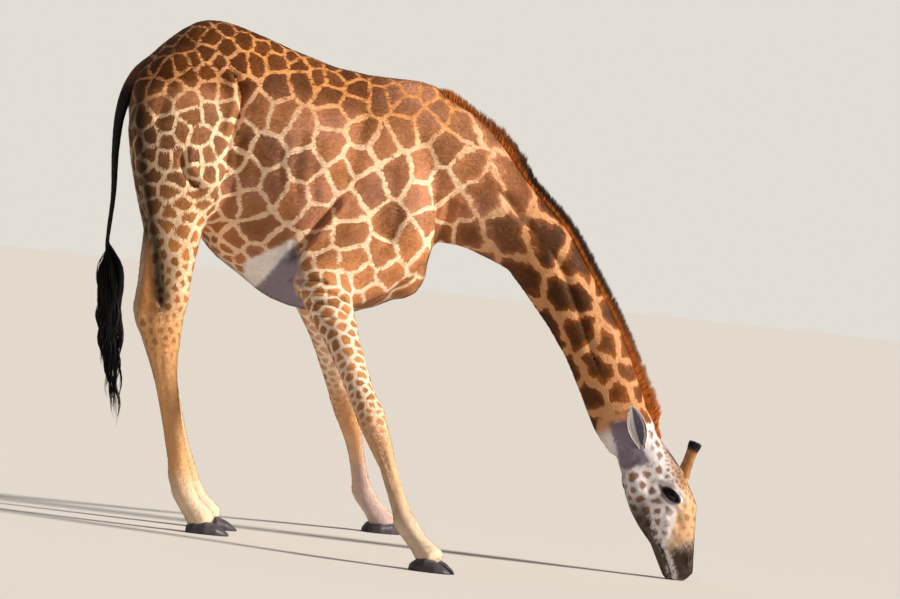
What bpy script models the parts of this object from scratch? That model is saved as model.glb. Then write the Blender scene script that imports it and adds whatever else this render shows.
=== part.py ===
"""A life-size giraffe cow, drinking: forelegs spread wide, neck lowered and muzzle on the ground.

The body is modelled whole from lofted forms (trunk, neck, head, muscles and legs), fused into one
closed surface, and then parted by thin cuts where a person would name its parts. Eyes, ossicones,
ears, claws, mane, tail and tail tuft are solids of their own, let into the flesh with a fine gap.

Frame: metres, +Z up. The animal faces +X with its left side towards +Y. The floor is Z = 0 and the
origin is the middle of the bottom of the bounding box.
"""

import math
from dataclasses import dataclass

import bmesh
import bpy
from mathutils import Matrix, Vector

# Driving sizes -------------------------------------------------------------------------------
GAP = 0.0004  # clearance between touching solids
SLIVER = 0.00002  # a cut-off bit of less than this many cubic metres is left out
VOXEL = 0.0085  # cell of the fused surface
BODY_TRIANGLES = 3100
RING_SIDES = 28
STEPS = 5  # rings between two stations of a loft

# Head: an axis from the poll towards the lips, with heights measured square to it
POLL = Vector((1.066, 0.0, 0.612))
HEAD_PITCH = math.radians(68.3)  # the head's axis below the horizontal
HEAD_DOWN = Vector((math.cos(HEAD_PITCH), 0.0, -math.sin(HEAD_PITCH)))
HEAD_FACE = Vector((math.sin(HEAD_PITCH), 0.0, math.cos(HEAD_PITCH)))

EYE_RADIUS = 0.030
EYE_AT = (0.262, 0.066, 0.086)  # along the head, towards the face, to the side
OSSICONE_LENGTH = 0.165
OSSICONE_RADIUS = 0.021
OSSICONE_AT = (0.200, 0.146, 0.052)
EAR_LENGTH = 0.215
EAR_WIDTH = 0.092
EAR_AT = (0.014, -0.006, 0.084)

CLAW_LENGTH = 0.200
CLAW_WIDTH = 0.078
CLAW_HEIGHT = 0.078
CLAW_CLEFT = 0.004
THIGH_APEX = (-1.320, 0.0, 1.620)  # where the cuts above the two thighs meet

TUFT_TOP = 1.297  # height where the bare tail ends and the tuft starts

COLOURS = {
    "coat": (0.30, 0.115, 0.045),
    "leg": (0.62, 0.36, 0.18),
    "mane": (0.16, 0.055, 0.018),
    "black": (0.012, 0.010, 0.010),
    "horn": (0.055, 0.050, 0.050),
    "eye": (0.010, 0.006, 0.004),
}


@dataclass(frozen=True)
class Station:
    """One ring of a loft: where it is, and half its depth and half its width."""

    at: tuple
    deep: float
    wide: float
    pear: float = 0.0  # over 0 is wider towards the hint, under 0 away from it
    square: float = 2.0  # 2 is an ellipse, more is boxier


# Setting up ------------------------------------------------------------------------------------
def clear_scene():
    for obj in list(bpy.data.objects):
        bpy.data.objects.remove(obj, do_unlink=True)


def new_collection(name):
    collection = bpy.data.collections.new(name)
    bpy.context.scene.collection.children.link(collection)
    return collection


def material(name, colour, roughness):
    made = bpy.data.materials.new(name)
    made.use_nodes = True
    shader = made.node_tree.nodes["Principled BSDF"]
    shader.inputs["Base Color"].default_value = (*colour, 1.0)
    shader.inputs["Roughness"].default_value = roughness
    shader.inputs["Metallic"].default_value = 0.0
    return made


def link_mesh(bm, name, collection):
    """Makes an object of a mesh, in triangles that face out."""
    bmesh.ops.triangulate(bm, faces=bm.faces, ngon_method="EAR_CLIP")
    if bm.calc_volume(signed=True) < 0:
        bmesh.ops.reverse_faces(bm, faces=bm.faces)
    mesh = bpy.data.meshes.new(name)
    bm.to_mesh(mesh)
    bm.free()
    obj = bpy.data.objects.new(name, mesh)
    collection.objects.link(obj)
    return obj


def baked(obj):
    """The object's mesh with its modifiers applied."""
    bpy.context.view_layer.update()
    graph = bpy.context.evaluated_depsgraph_get()
    mesh = bpy.data.meshes.new_from_object(obj.evaluated_get(graph))
    obj.modifiers.clear()
    obj.data = mesh
    return obj


# Lofts -----------------------------------------------------------------------------------------
def smooth_between(values, index, t):
    """Catmull-Rom value between values[index] and values[index + 1]."""
    last = len(values) - 1
    a = values[max(index - 1, 0)]
    b = values[index]
    c = values[min(index + 1, last)]
    d = values[min(index + 2, last)]
    return 0.5 * (2 * b + (c - a) * t + (2 * a - 5 * b + 4 * c - d) * t * t + (3 * b - a - 3 * c + d) * t**3)


def refine(stations, steps):
    """More stations on a smooth curve through the given ones."""
    columns = [
        [Vector(s.at) for s in stations],
        [s.deep for s in stations],
        [s.wide for s in stations],
        [s.pear for s in stations],
        [s.square for s in stations],
    ]
    fine = []
    for index in range(len(stations) - 1):
        for step in range(steps):
            fine.append(Station(*(smooth_between(column, index, step / steps) for column in columns)))
    fine.append(Station(Vector(stations[-1].at), *(column[-1] for column in columns[1:])))
    return fine


def ring_points(station, along, hint, sides):
    deep_way = (hint - along * hint.dot(along)).normalized()
    wide_way = along.cross(deep_way).normalized()
    power = 2.0 / station.square
    points = []
    for side in range(sides):
        angle = 2 * math.pi * side / sides
        c, s = math.cos(angle), math.sin(angle)
        deep = math.copysign(abs(c) ** power, c) * station.deep
        wide = math.copysign(abs(s) ** power, s) * station.wide * (1 + station.pear * c)
        points.append(Vector(station.at) + deep_way * deep + wide_way * wide)
    return points


def add_loft(bm, stations, hint, sides=RING_SIDES, steps=STEPS, dome=0.55, facing=None):
    """Adds a closed tube through the stations, with domed ends.

    Each ring stands square to the path, or all of them face one way.
    """
    fine = refine(stations, steps)
    centres = [Vector(s.at) for s in fine]
    rings = []
    for index, station in enumerate(fine):
        along = centres[min(index + 1, len(fine) - 1)] - centres[max(index - 1, 0)]
        rings.append((station, facing or along.normalized()))
    first, last = rings[0], rings[-1]
    front = [capped(first, -dome, share) for share in (0.97, 0.80, 0.45)]
    back = [capped(last, dome, share) for share in (0.45, 0.80, 0.97)]
    loops = []
    for station, along in front + rings + back:
        loops.append([bm.verts.new(p) for p in ring_points(station, along, hint, sides)])
    for lower, upper in zip(loops, loops[1:]):
        for side in range(sides):
            after = (side + 1) % sides
            bm.faces.new((lower[side], lower[after], upper[after], upper[side]))
    bm.faces.new(list(reversed(loops[0])))
    bm.faces.new(loops[-1])


def capped(ring, dome, share):
    """A smaller ring beyond the end of a loft, on an ellipse of the given dome height."""
    station, along = ring
    shrink = math.sqrt(1 - share * share)
    size = min(station.deep, station.wide)
    at = Vector(station.at) + along * (dome * share * size)
    return Station(at, station.deep * shrink, station.wide * shrink, station.pear, station.square), along


def add_ball(bm, centre, radii, turn=None):
    """Adds an ellipsoid, with radii along its own X, Y and Z."""
    matrix = Matrix.Translation(Vector(centre))
    if turn is not None:
        matrix = matrix @ turn.to_4x4()
    matrix = matrix @ Matrix.Diagonal((*radii, 1.0))
    bmesh.ops.create_icosphere(bm, subdivisions=3, radius=1.0, matrix=matrix)


def in_head(along, face, side):
    """A point of the head, from its distances along the axis, towards the face and to the left."""
    return POLL + HEAD_DOWN * along + HEAD_FACE * face + Vector((0.0, side, 0.0))


# The body's forms --------------------------------------------------------------------------------
def trunk_stations():
    """x, top, bottom, half width and pear of the rings, from the rump to the chest."""
    rows = (
        (-1.447, 2.100, 1.880, 0.080, -0.10),
        (-1.391, 2.192, 1.770, 0.145, -0.10),
        (-1.266, 2.310, 1.610, 0.205, -0.12),
        (-1.170, 2.362, 1.490, 0.228, -0.15),
        (-1.048, 2.362, 1.310, 0.238, -0.18),
        (-0.890, 2.318, 1.200, 0.250, -0.20),
        (-0.760, 2.274, 1.118, 0.285, -0.22),
        (-0.646, 2.242, 1.080, 0.302, -0.24),
        (-0.540, 2.212, 1.068, 0.304, -0.26),
        (-0.392, 2.194, 1.070, 0.286, -0.28),
        (-0.250, 2.190, 1.112, 0.254, -0.28),
        (-0.138, 2.188, 1.172, 0.220, -0.25),
        (-0.060, 2.172, 1.240, 0.180, -0.20),
        (-0.020, 2.120, 1.330, 0.135, -0.10),
    )
    stations = []
    for x, top, bottom, wide, pear in rows:
        stations.append(Station((x, 0.0, (top + bottom) / 2), (top - bottom) / 2, wide, pear, 2.15))
    return stations


def neck_stations():
    """Centre x and z, half depth and half width, from inside the chest to behind the jaw."""
    rows = (
        (-0.260, 1.780, 0.395, 0.170),
        (-0.110, 1.770, 0.375, 0.170),
        (0.025, 1.742, 0.332, 0.162),
        (0.157, 1.682, 0.272, 0.148),
        (0.284, 1.606, 0.216, 0.130),
        (0.451, 1.497, 0.178, 0.112),
        (0.546, 1.393, 0.169, 0.104),
        (0.689, 1.205, 0.154, 0.094),
        (0.803, 1.034, 0.148, 0.089),
        (0.912, 0.818, 0.141, 0.086),
        (0.961, 0.721, 0.138, 0.086),
        (1.025, 0.629, 0.127, 0.083),
    )
    return [Station((x, 0.0, z), deep, wide, 0.08) for x, z, deep, wide in rows]


def head_stations():
    """Distance along the head, face height, jaw height, half width, pear and squareness."""
    rows = (
        (-0.030, 0.088, -0.128, 0.080, 0.05, 2.1),
        (0.050, 0.108, -0.128, 0.092, 0.12, 2.2),
        (0.130, 0.138, -0.128, 0.102, 0.22, 2.3),
        (0.210, 0.160, -0.136, 0.106, 0.28, 2.3),
        (0.290, 0.172, -0.130, 0.098, 0.26, 2.3),
        (0.370, 0.168, -0.112, 0.078, 0.16, 2.3),
        (0.440, 0.146, -0.092, 0.063, 0.06, 2.3),
        (0.510, 0.118, -0.078, 0.056, 0.02, 2.4),
        (0.570, 0.100, -0.072, 0.058, 0.02, 2.5),
        (0.620, 0.083, -0.070, 0.060, 0.04, 2.6),
    )
    stations = []
    for along, face, jaw, wide, pear, square in rows:
        at = in_head(along, (face + jaw) / 2, 0.0)
        stations.append(Station(at, (face - jaw) / 2, wide, pear, square))
    return stations


def foreleg_stations():
    """The right foreleg from inside the elbow to the coronet: centre, half depth, half width."""
    rows = (
        ((-0.532, -0.315, 1.256), 0.128, 0.092),
        ((-0.491, -0.400, 1.140), 0.120, 0.084),
        ((-0.438, -0.500, 1.019), 0.094, 0.074),
        ((-0.381, -0.625, 0.888), 0.076, 0.064),
        ((-0.317, -0.760, 0.737), 0.065, 0.058),
        ((-0.256, -0.875, 0.604), 0.066, 0.060),
        ((-0.218, -0.945, 0.520), 0.057, 0.054),
        ((-0.186, -1.035, 0.436), 0.044, 0.043),
        ((-0.148, -1.160, 0.328), 0.042, 0.042),
        ((-0.114, -1.275, 0.234), 0.047, 0.047),
        ((-0.082, -1.345, 0.174), 0.054, 0.054),
        ((-0.039, -1.392, 0.120), 0.050, 0.054),
        ((0.006, -1.428, 0.072), 0.062, 0.066),
        ((0.023, -1.440, 0.054), 0.066, 0.070),
    )
    return [Station(at, deep, wide) for at, deep, wide in rows]


def hindleg_stations():
    """The right hind leg from the hip to the coronet: centre, half depth, half width, pear."""
    rows = (
        ((-1.252, -0.140, 2.012), 0.200, 0.112, 0.0),
        ((-1.237, -0.165, 1.872), 0.234, 0.124, 0.0),
        ((-1.225, -0.184, 1.713), 0.222, 0.126, 0.0),
        ((-1.218, -0.200, 1.553), 0.188, 0.112, 0.0),
        ((-1.213, -0.212, 1.413), 0.146, 0.094, 0.05),
        ((-1.203, -0.220, 1.283), 0.110, 0.078, 0.10),
        ((-1.190, -0.224, 1.153), 0.082, 0.064, 0.10),
        ((-1.199, -0.224, 1.043), 0.080, 0.056, 0.05),
        ((-1.221, -0.225, 0.953), 0.094, 0.055, 0.0),
        ((-1.215, -0.226, 0.873), 0.088, 0.052, 0.0),
        ((-1.200, -0.228, 0.783), 0.070, 0.046, 0.0),
        ((-1.180, -0.230, 0.684), 0.057, 0.042, 0.0),
        ((-1.139, -0.234, 0.525), 0.050, 0.040, 0.0),
        ((-1.095, -0.238, 0.356), 0.050, 0.042, 0.0),
        ((-1.062, -0.242, 0.246), 0.056, 0.048, 0.0),
        ((-1.045, -0.245, 0.187), 0.061, 0.053, 0.0),
        ((-1.007, -0.248, 0.128), 0.058, 0.056, 0.0),
        ((-0.964, -0.250, 0.079), 0.066, 0.066, 0.0),
        ((-0.947, -0.250, 0.055), 0.070, 0.070, 0.0),
    )
    return [Station(at, deep, wide, pear) for at, deep, wide, pear in rows]


FORE_HOOF_AT = (0.030, -1.452)
FORE_HOOF_HEADING = math.radians(-32.0)
HIND_HOOF_AT = (-0.918, -0.252)
HIND_HOOF_HEADING = math.radians(-7.0)
FAR_HIND_STEP = 0.065  # how far the left hind foot stands ahead of the right


def mirrored(stations, step=0.0):
    """The stations of the other side, leaning forward by a step at the floor."""
    made = []
    for s in stations:
        x, y, z = s.at
        ahead = step * max(0.0, 1 - z / 0.95)
        made.append(Station((x + ahead, -y, z), s.deep, s.wide, s.pear, s.square))
    return made


def add_shoulder(bm, side):
    """Shoulder blade, point of the shoulder, upper arm, triceps and elbow of one side."""
    y = side
    forward = Vector((1.0, 0.0, 0.0))
    blade = [
        Station((-0.288, 0.080 * y, 2.040), 0.095, 0.045),
        Station((-0.245, 0.126 * y, 1.879), 0.140, 0.072),
        Station((-0.190, 0.166 * y, 1.660), 0.165, 0.085),
        Station((-0.155, 0.196 * y, 1.481), 0.150, 0.090),
        Station((-0.148, 0.215 * y, 1.351), 0.115, 0.088),
    ]
    add_loft(bm, blade, forward)
    arm = [
        Station((-0.145, 0.210 * y, 1.371), 0.110, 0.088),
        Station((-0.294, 0.250 * y, 1.307), 0.150, 0.100),
        Station((-0.432, 0.292 * y, 1.248), 0.155, 0.100),
        Station((-0.551, 0.325 * y, 1.210), 0.115, 0.088),
        Station((-0.621, 0.338 * y, 1.188), 0.070, 0.062),
    ]
    add_loft(bm, arm, Vector((0.0, 0.0, 1.0)))
    triceps = [
        Station((-0.335, 0.180 * y, 1.736), 0.120, 0.068),
        Station((-0.410, 0.222 * y, 1.544), 0.155, 0.082),
        Station((-0.485, 0.268 * y, 1.362), 0.145, 0.084),
        Station((-0.562, 0.312 * y, 1.230), 0.100, 0.072),
    ]
    add_loft(bm, triceps, forward)


def add_rump(bm, side):
    """Croup, hip bone, pin bone and stifle of one side."""
    y = side
    add_ball(bm, (-1.190, 0.115 * y, 2.020), (0.240, 0.108, 0.225))
    add_ball(bm, (-1.020, 0.160 * y, 2.060), (0.080, 0.052, 0.085))
    add_ball(bm, (-1.396, 0.095 * y, 1.950), (0.088, 0.082, 0.175))
    add_ball(bm, (-1.090, 0.232 * y, 1.610), (0.090, 0.080, 0.140))


def add_hock(bm, side, step):
    """Heel bone, the tendon up the back of the shank, and the skin between the tendon and the shank."""
    y = side
    ahead = step * 0.05
    tendon = [
        Station((-1.296, 0.220 * y, 1.321), 0.050, 0.042),
        Station((-1.315, 0.222 * y, 1.190), 0.030, 0.024),
        Station((-1.324 + ahead, 0.224 * y, 1.070), 0.027, 0.022),
        Station((-1.319 + ahead, 0.225 * y, 0.975), 0.036, 0.029),
        Station((-1.275 + ahead, 0.226 * y, 0.891), 0.040, 0.036),
    ]
    add_loft(bm, tendon, Vector((1.0, 0.0, 0.0)), sides=16)
    web = [
        Station((-1.250, 0.221 * y, 1.340), 0.100, 0.030),
        Station((-1.262, 0.223 * y, 1.160), 0.070, 0.022),
        Station((-1.268, 0.224 * y, 0.980), 0.070, 0.028),
    ]
    add_loft(bm, web, Vector((1.0, 0.0, 0.0)), sides=16)


def add_head(bm):
    add_loft(bm, head_stations(), HEAD_FACE, dome=0.75)
    lips = (0.628, 0.004)
    add_ball(bm, in_head(*lips, 0.0), (0.058, 0.056, 0.036), lying_along(HEAD_DOWN))
    add_ball(bm, in_head(0.606, -0.036, 0.0), (0.048, 0.046, 0.032), lying_along(HEAD_DOWN))
    for side in (-1.0, 1.0):
        # cheek, orbit, nostril and the swelling that carries the ossicone
        add_ball(bm, in_head(0.165, -0.055, 0.062 * side), (0.105, 0.042, 0.078), lying_along(HEAD_DOWN))
        add_ball(bm, in_head(0.252, 0.082, 0.078 * side), (0.066, 0.044, 0.050), lying_along(HEAD_DOWN))
        add_ball(bm, in_head(0.572, 0.058, 0.038 * side), (0.040, 0.026, 0.030), lying_along(HEAD_DOWN))
        add_ball(bm, in_head(0.190, 0.118, 0.052 * side), (0.060, 0.042, 0.046), lying_along(HEAD_DOWN))
    add_ball(bm, in_head(0.330, 0.132, 0.0), (0.090, 0.044, 0.046), lying_along(HEAD_DOWN))


def lying_along(way):
    """The turn that brings an ellipsoid's own X onto the head's axis and its Z onto the face."""
    side = Vector((0.0, 1.0, 0.0))
    face = way.cross(side).normalized()
    return Matrix((way, side, face)).transposed()


def fused_body(collection):
    """The whole flesh as one closed surface."""
    bm = bmesh.new()
    up = Vector((0.0, 0.0, 1.0))
    forward = Vector((1.0, 0.0, 0.0))
    add_loft(bm, trunk_stations(), up, sides=36, dome=0.2, facing=forward)
    add_loft(bm, neck_stations(), Vector((0.75, 0.0, 0.66)), sides=32)
    add_head(bm)
    add_ball(bm, (-0.140, 0.0, 1.310), (0.125, 0.170, 0.150))
    for side in (-1.0, 1.0):
        add_shoulder(bm, side)
        add_rump(bm, side)
        add_hock(bm, side, 0.0 if side < 0 else FAR_HIND_STEP)
    add_loft(bm, foreleg_stations(), forward, steps=4)
    add_loft(bm, mirrored(foreleg_stations()), forward, steps=4)
    add_loft(bm, hindleg_stations(), forward, steps=4)
    add_loft(bm, mirrored(hindleg_stations(), FAR_HIND_STEP), forward, steps=4)
    body = link_mesh(bm, "body", collection)

    fuse = body.modifiers.new("fuse", "REMESH")
    fuse.mode = "VOXEL"
    fuse.voxel_size = VOXEL
    baked(body)
    weigh(body, "broad", breadth)
    for name, group, iterations in (("soften", "", 8), ("blend", "broad", 70)):
        soften = body.modifiers.new(name, "SMOOTH")
        soften.factor = 0.5
        soften.iterations = iterations
        soften.vertex_group = group
    baked(body)
    weigh(body, "coarse", coarseness)
    thin = body.modifiers.new("thin", "DECIMATE")
    thin.ratio = BODY_TRIANGLES / triangle_count(body.data)
    thin.vertex_group = "coarse"
    thin.vertex_group_factor = 0.0002
    baked(body)
    body.vertex_groups.clear()
    return body


def weigh(obj, name, rule):
    """Fills a vertex group with a rule's value at each vertex."""
    if name in obj.vertex_groups:
        obj.vertex_groups.remove(obj.vertex_groups[name])
    group = obj.vertex_groups.new(name=name)
    for vertex in obj.data.vertices:
        group.add([vertex.index], rule(vertex.co), "REPLACE")


def breadth(point):
    """How broadly muscles blend: fully on the trunk and thighs, hardly on the legs and head."""
    low = min(max((point.z - 1.15) / 0.30, 0.0), 1.0)
    near_head = min(max((1.05 - point.x) / 0.30, 0.0), 1.0)
    return max(low, 0.25 * (1.0 if point.z > 0.9 else 0.0)) * near_head


def coarseness(point):
    """How freely the surface may be simplified: least on the head, less on the feet."""
    if (point - in_head(0.33, 0.02, 0.0)).length < 0.40:
        return 0.45
    if point.z < 0.30:
        return 0.8
    return 1.0


def triangle_count(mesh):
    return sum(len(polygon.vertices) - 2 for polygon in mesh.polygons)


# Cutting -----------------------------------------------------------------------------------------
def cut(obj, cutter, operation="DIFFERENCE"):
    step = obj.modifiers.new("cut", "BOOLEAN")
    step.operation = operation
    step.solver = "MANIFOLD"
    step.object = cutter
    baked(obj)


def cutter_from(bm, name, collection):
    obj = link_mesh(bm, name, collection)
    obj.hide_render = True
    obj.display_type = "WIRE"
    return obj


def slab(centre, normal, size, collection):
    """A square plate as thin as the gap, square to a normal."""
    turn = Vector(normal).to_track_quat("Z", "Y").to_matrix().to_4x4()
    matrix = Matrix.Translation(Vector(centre)) @ turn @ Matrix.Diagonal((size, size, GAP, 1.0))
    return plate(matrix, collection)


def thigh_plates(collection):
    """Two slanting plates that part the thighs from the trunk, and one in the middle below where they meet."""
    made = []
    apex = Vector(THIGH_APEX)
    down = Vector((0.436, 0.0, -0.900)).normalized()
    up, low = -0.80, 0.66
    for side in (-1.0, 1.0):
        normal = Vector((0.66, -0.68 * side, 0.32)).normalized()
        out = down.cross(normal).normalized()
        out *= math.copysign(1.0, out.y * side)
        made.append(patch(apex, (down, up, low), (out, -0.004, 0.57), collection))
    below = Vector((-down.z, 0.0, down.x)) * -1.0
    made.append(patch(apex, (down, up, low), (below, -0.002, 0.45), collection))
    return made


def patch(corner, first, second, collection):
    """A thin plate that spans from one reach to another along each of two directions."""
    one, one_from, one_to = first
    two, two_from, two_to = second
    centre = corner + one * ((one_from + one_to) / 2) + two * ((two_from + two_to) / 2)
    turn = Matrix((one, two, one.cross(two))).transposed().to_4x4()
    size = Matrix.Diagonal((one_to - one_from, two_to - two_from, GAP, 1.0))
    return plate(Matrix.Translation(centre) @ turn @ size, collection)


def plate(matrix, collection):
    bm = bmesh.new()
    bmesh.ops.create_cube(bm, size=1.0, matrix=matrix)
    return cutter_from(bm, "plate", collection)


def swollen(obj, collection, hull=False):
    """A copy of a solid, or of its convex hull, grown by the gap to cut the room it lies in."""
    bm = bmesh.new()
    bm.from_mesh(obj.data)
    if hull:
        made = bmesh.ops.convex_hull(bm, input=bm.verts)
        spare = made["geom_interior"] + made["geom_unused"]
        bmesh.ops.delete(bm, geom=[v for v in spare if isinstance(v, bmesh.types.BMVert)], context="VERTS")
        bmesh.ops.delete(bm, geom=[f for f in made["geom_holes"] if isinstance(f, bmesh.types.BMFace)], context="FACES_ONLY")
        kept = {f for f in made["geom"] if isinstance(f, bmesh.types.BMFace)}
        bmesh.ops.delete(bm, geom=[f for f in bm.faces if f not in kept], context="FACES")
    bmesh.ops.recalc_face_normals(bm, faces=bm.faces)
    moves = [(v, v.normal * GAP) for v in bm.verts]
    for v, move in moves:
        v.co += move
    return cutter_from(bm, obj.name + "_room", collection)


def leg_cuts():
    """Centre, normal and size of the plates that part the legs, for the right side."""
    fore = [Vector(s.at) for s in foreleg_stations()]
    hind = [Vector(s.at) for s in hindleg_stations()]
    fore_way = (fore[4] - fore[2]).normalized()
    cannon_way = (fore[9] - fore[7]).normalized()
    hind_way = (hind[13] - hind[11]).normalized()
    return (
        ((-0.462, -0.450, 1.075), fore_way, 0.30),
        ((fore[5] + fore[6]) / 2, cannon_way, 0.26),
        ((fore[9] + fore[10]) / 2, cannon_way, 0.22),
        ((-1.205, -0.220, 1.300), (0.12, 0.0, 1.0), 0.40),
        ((-1.212, -0.226, 0.850), (-0.2, 0.0, 1.0), 0.34),
        ((hind[14] + hind[15]) / 2, hind_way, 0.24),
    )


def boxes_meet(one, other):
    for axis in range(3):
        first = [v.co[axis] for v in one.data.vertices]
        second = [v.co[axis] for v in other.data.vertices]
        if min(first) > max(second) or min(second) > max(first):
            return False
    return True


def cut_apart(pieces, cutter, collection):
    """The pieces after a cut, each connected solid as an object of its own."""
    after = []
    for piece in pieces:
        if boxes_meet(piece, cutter):
            cut(piece, cutter)
            after += loose_pieces(piece, collection)
        else:
            after.append(piece)
    return after


def part_body(body, cutters, collection):
    """Cuts the body apart where its parts are named."""
    plates = thigh_plates(cutters)
    for centre, normal, size in leg_cuts():
        x, y, z = centre
        nx, ny, nz = normal
        ahead = FAR_HIND_STEP * max(0.0, 1 - z / 0.95) if x < -0.8 else 0.0
        plates.append(slab((x, y, z), (nx, ny, nz), size, cutters))
        plates.append(slab((x + ahead, -y, z), (nx, -ny, nz), size, cutters))
    neck = [Vector(s.at) for s in neck_stations()]
    for index, size in ((3, 0.68), (5, 0.56), (8, 0.46)):
        middle = (neck[index] + neck[index + 1]) / 2
        plates.append(slab(middle, neck[index + 1] - neck[index], size, cutters))
    plates.append(slab(in_head(-0.020, 0.0, 0.0), (0.72, 0.0, -0.70), 0.50, cutters))
    pieces = [body]
    for cutter in plates:
        pieces = cut_apart(pieces, cutter, collection)
    return pieces


# Named solids ------------------------------------------------------------------------------------
def eye(side, collection):
    bm = bmesh.new()
    along, face, out = EYE_AT
    matrix = Matrix.Translation(in_head(along, face, out * side))
    bmesh.ops.create_uvsphere(bm, u_segments=10, v_segments=7, radius=EYE_RADIUS, matrix=matrix)
    return link_mesh(bm, f"eye_{side_name(side)}", collection)


def ossicone(side, collection):
    """A skin-covered horn that leans back from the brow, with a wider tufted end."""
    along, face, out = OSSICONE_AT
    root = in_head(along, face, out * side)
    lean = math.radians(37.0)
    way = (HEAD_FACE * math.sin(lean) - HEAD_DOWN * math.cos(lean) + Vector((0.0, 0.06 * side, 0.0))).normalized()
    stations = []
    for share, swell in ((-0.10, 1.25), (0.15, 1.10), (0.45, 0.92), (0.75, 0.95), (0.92, 1.12), (1.0, 0.95)):
        size = OSSICONE_RADIUS * swell
        stations.append(Station(root + way * (OSSICONE_LENGTH * share), size, size))
    bm = bmesh.new()
    add_loft(bm, stations, HEAD_FACE, sides=8, steps=1, dome=0.6)
    return link_mesh(bm, f"ossicone_{side_name(side)}", collection)


def ear(side, collection):
    """A leaf-shaped cup, laid back along the neck and open outwards."""
    along, face, out = EAR_AT
    root = in_head(along, face, out * side)
    way = (-HEAD_DOWN * 0.95 + Vector((0.0, 0.30 * side, 0.0))).normalized()
    opening = Vector((-0.25, 0.95 * side, 0.1))
    opening = (opening - way * opening.dot(way)).normalized()
    across = way.cross(opening).normalized()
    thickness = 0.006
    outline = ((-0.06, 0.26), (0.08, 0.46), (0.25, 0.82), (0.45, 1.0), (0.65, 0.88), (0.85, 0.52), (0.97, 0.16))
    half_arc = 6
    loops = []
    bm = bmesh.new()
    for share, spread in outline:
        half = EAR_WIDTH / 2 * spread
        cup = half * (0.95 - 0.35 * share)
        centre = root + way * (EAR_LENGTH * share)
        loop = []
        for step in range(half_arc):
            angle = math.pi * (step / (half_arc - 1) - 0.5)
            loop.append(centre + across * (half * math.sin(angle)) - opening * (cup * math.cos(angle)))
        for step in range(1, half_arc - 1):
            angle = math.pi * (0.5 - step / (half_arc - 1))
            inner = max(half - thickness, 0.3 * half)
            depth = max(cup - thickness, 0.35 * cup)
            loop.append(centre + across * (inner * math.sin(angle)) - opening * (depth * math.cos(angle)))
        loops.append([bm.verts.new(p) for p in loop])
    count = len(loops[0])
    for lower, upper in zip(loops, loops[1:]):
        for step in range(count):
            after = (step + 1) % count
            bm.faces.new((lower[step], lower[after], upper[after], upper[step]))
    bm.faces.new(list(reversed(loops[0])))
    bm.faces.new(loops[-1])
    bmesh.ops.triangulate(bm, faces=bm.faces)
    return link_mesh(bm, f"ear_{side_name(side)}", collection)


def claw(name, at, heading, inner, collection):
    """One half of a cloven hoof: flat sole, straight inner wall, sloping toe."""
    profile = (
        (0.00, 0.55, 0.46),
        (0.16, 0.90, 0.72),
        (0.45, 1.00, 0.95),
        (0.72, 0.84, 0.78),
        (0.90, 0.54, 0.44),
        (1.00, 0.22, 0.18),
    )
    arc = 4
    bm = bmesh.new()
    loops = []
    for share, spread, rise in profile:
        x = (share - 0.5) * CLAW_LENGTH
        wide = CLAW_WIDTH * spread
        high = CLAW_HEIGHT * rise
        start = inner * (CLAW_CLEFT / 2 + 0.05 * CLAW_LENGTH * share * share)
        loop = [Vector((x, start, 0.0)), Vector((x, start, high * 0.86))]
        for step in range(arc + 1):
            angle = math.pi / 2 * (1 - step / arc)
            y = start + inner * (wide * (0.30 + 0.70 * math.cos(angle)))
            z = high * (0.30 + 0.70 * math.sin(angle)) if step < arc else 0.0
            loop.append(Vector((x, y, z)))
        loops.append([bm.verts.new(p) for p in loop])
    count = len(loops[0])
    for lower, upper in zip(loops, loops[1:]):
        for step in range(count):
            after = (step + 1) % count
            bm.faces.new((lower[step], lower[after], upper[after], upper[step]))
    bm.faces.new(list(reversed(loops[0])))
    bm.faces.new(loops[-1])
    turn = Matrix.Translation((at[0], at[1], 0.0)) @ Matrix.Rotation(heading, 4, "Z")
    bmesh.ops.transform(bm, matrix=turn, verts=bm.verts)
    bmesh.ops.triangulate(bm, faces=bm.faces)
    return link_mesh(bm, name, collection)


def claws(collection):
    made = []
    for side in (-1.0, 1.0):
        feet = (
            ("fore", FORE_HOOF_AT, FORE_HOOF_HEADING, 0.0),
            ("hind", HIND_HOOF_AT, HIND_HOOF_HEADING, FAR_HIND_STEP if side > 0 else 0.0),
        )
        for foot, (x, y), heading, step in feet:
            at = (x + step, -y * side)
            for place, inner in (("outer", side), ("inner", -side)):
                name = f"claw_{foot}_{side_name(side)}_{place}"
                made.append(claw(name, at, -heading * side, inner, collection))
    return made


def mane(collection):
    """The stiff crest of hair from the withers to the poll."""
    rings = refine(neck_stations(), 2)
    centres = [Vector(s.at) for s in rings]
    stations = [
        Station((-0.100, 0.0, 2.146), 0.044, 0.016),
        Station((-0.030, 0.0, 2.128), 0.044, 0.020),
    ]
    for index in range(5, len(rings) - 2):
        along = (centres[index + 1] - centres[index - 1]).normalized()
        crest = Vector((-along.z, 0.0, along.x))
        grown = min(1.0, (index - 3) / 6)
        top = centres[index] + crest * (rings[index].deep + 0.006 * grown)
        stations.append(Station(top, 0.034 + 0.006 * grown, 0.020))
    stations.append(Station(in_head(-0.020, 0.098, 0.0), 0.040, 0.020))
    stations.append(Station(in_head(0.012, 0.092, 0.0), 0.034, 0.016))
    bm = bmesh.new()
    add_loft(bm, stations, Vector((0.75, 0.0, 0.66)), sides=6, steps=1, dome=0.5)
    return link_mesh(bm, "mane", collection)


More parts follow.
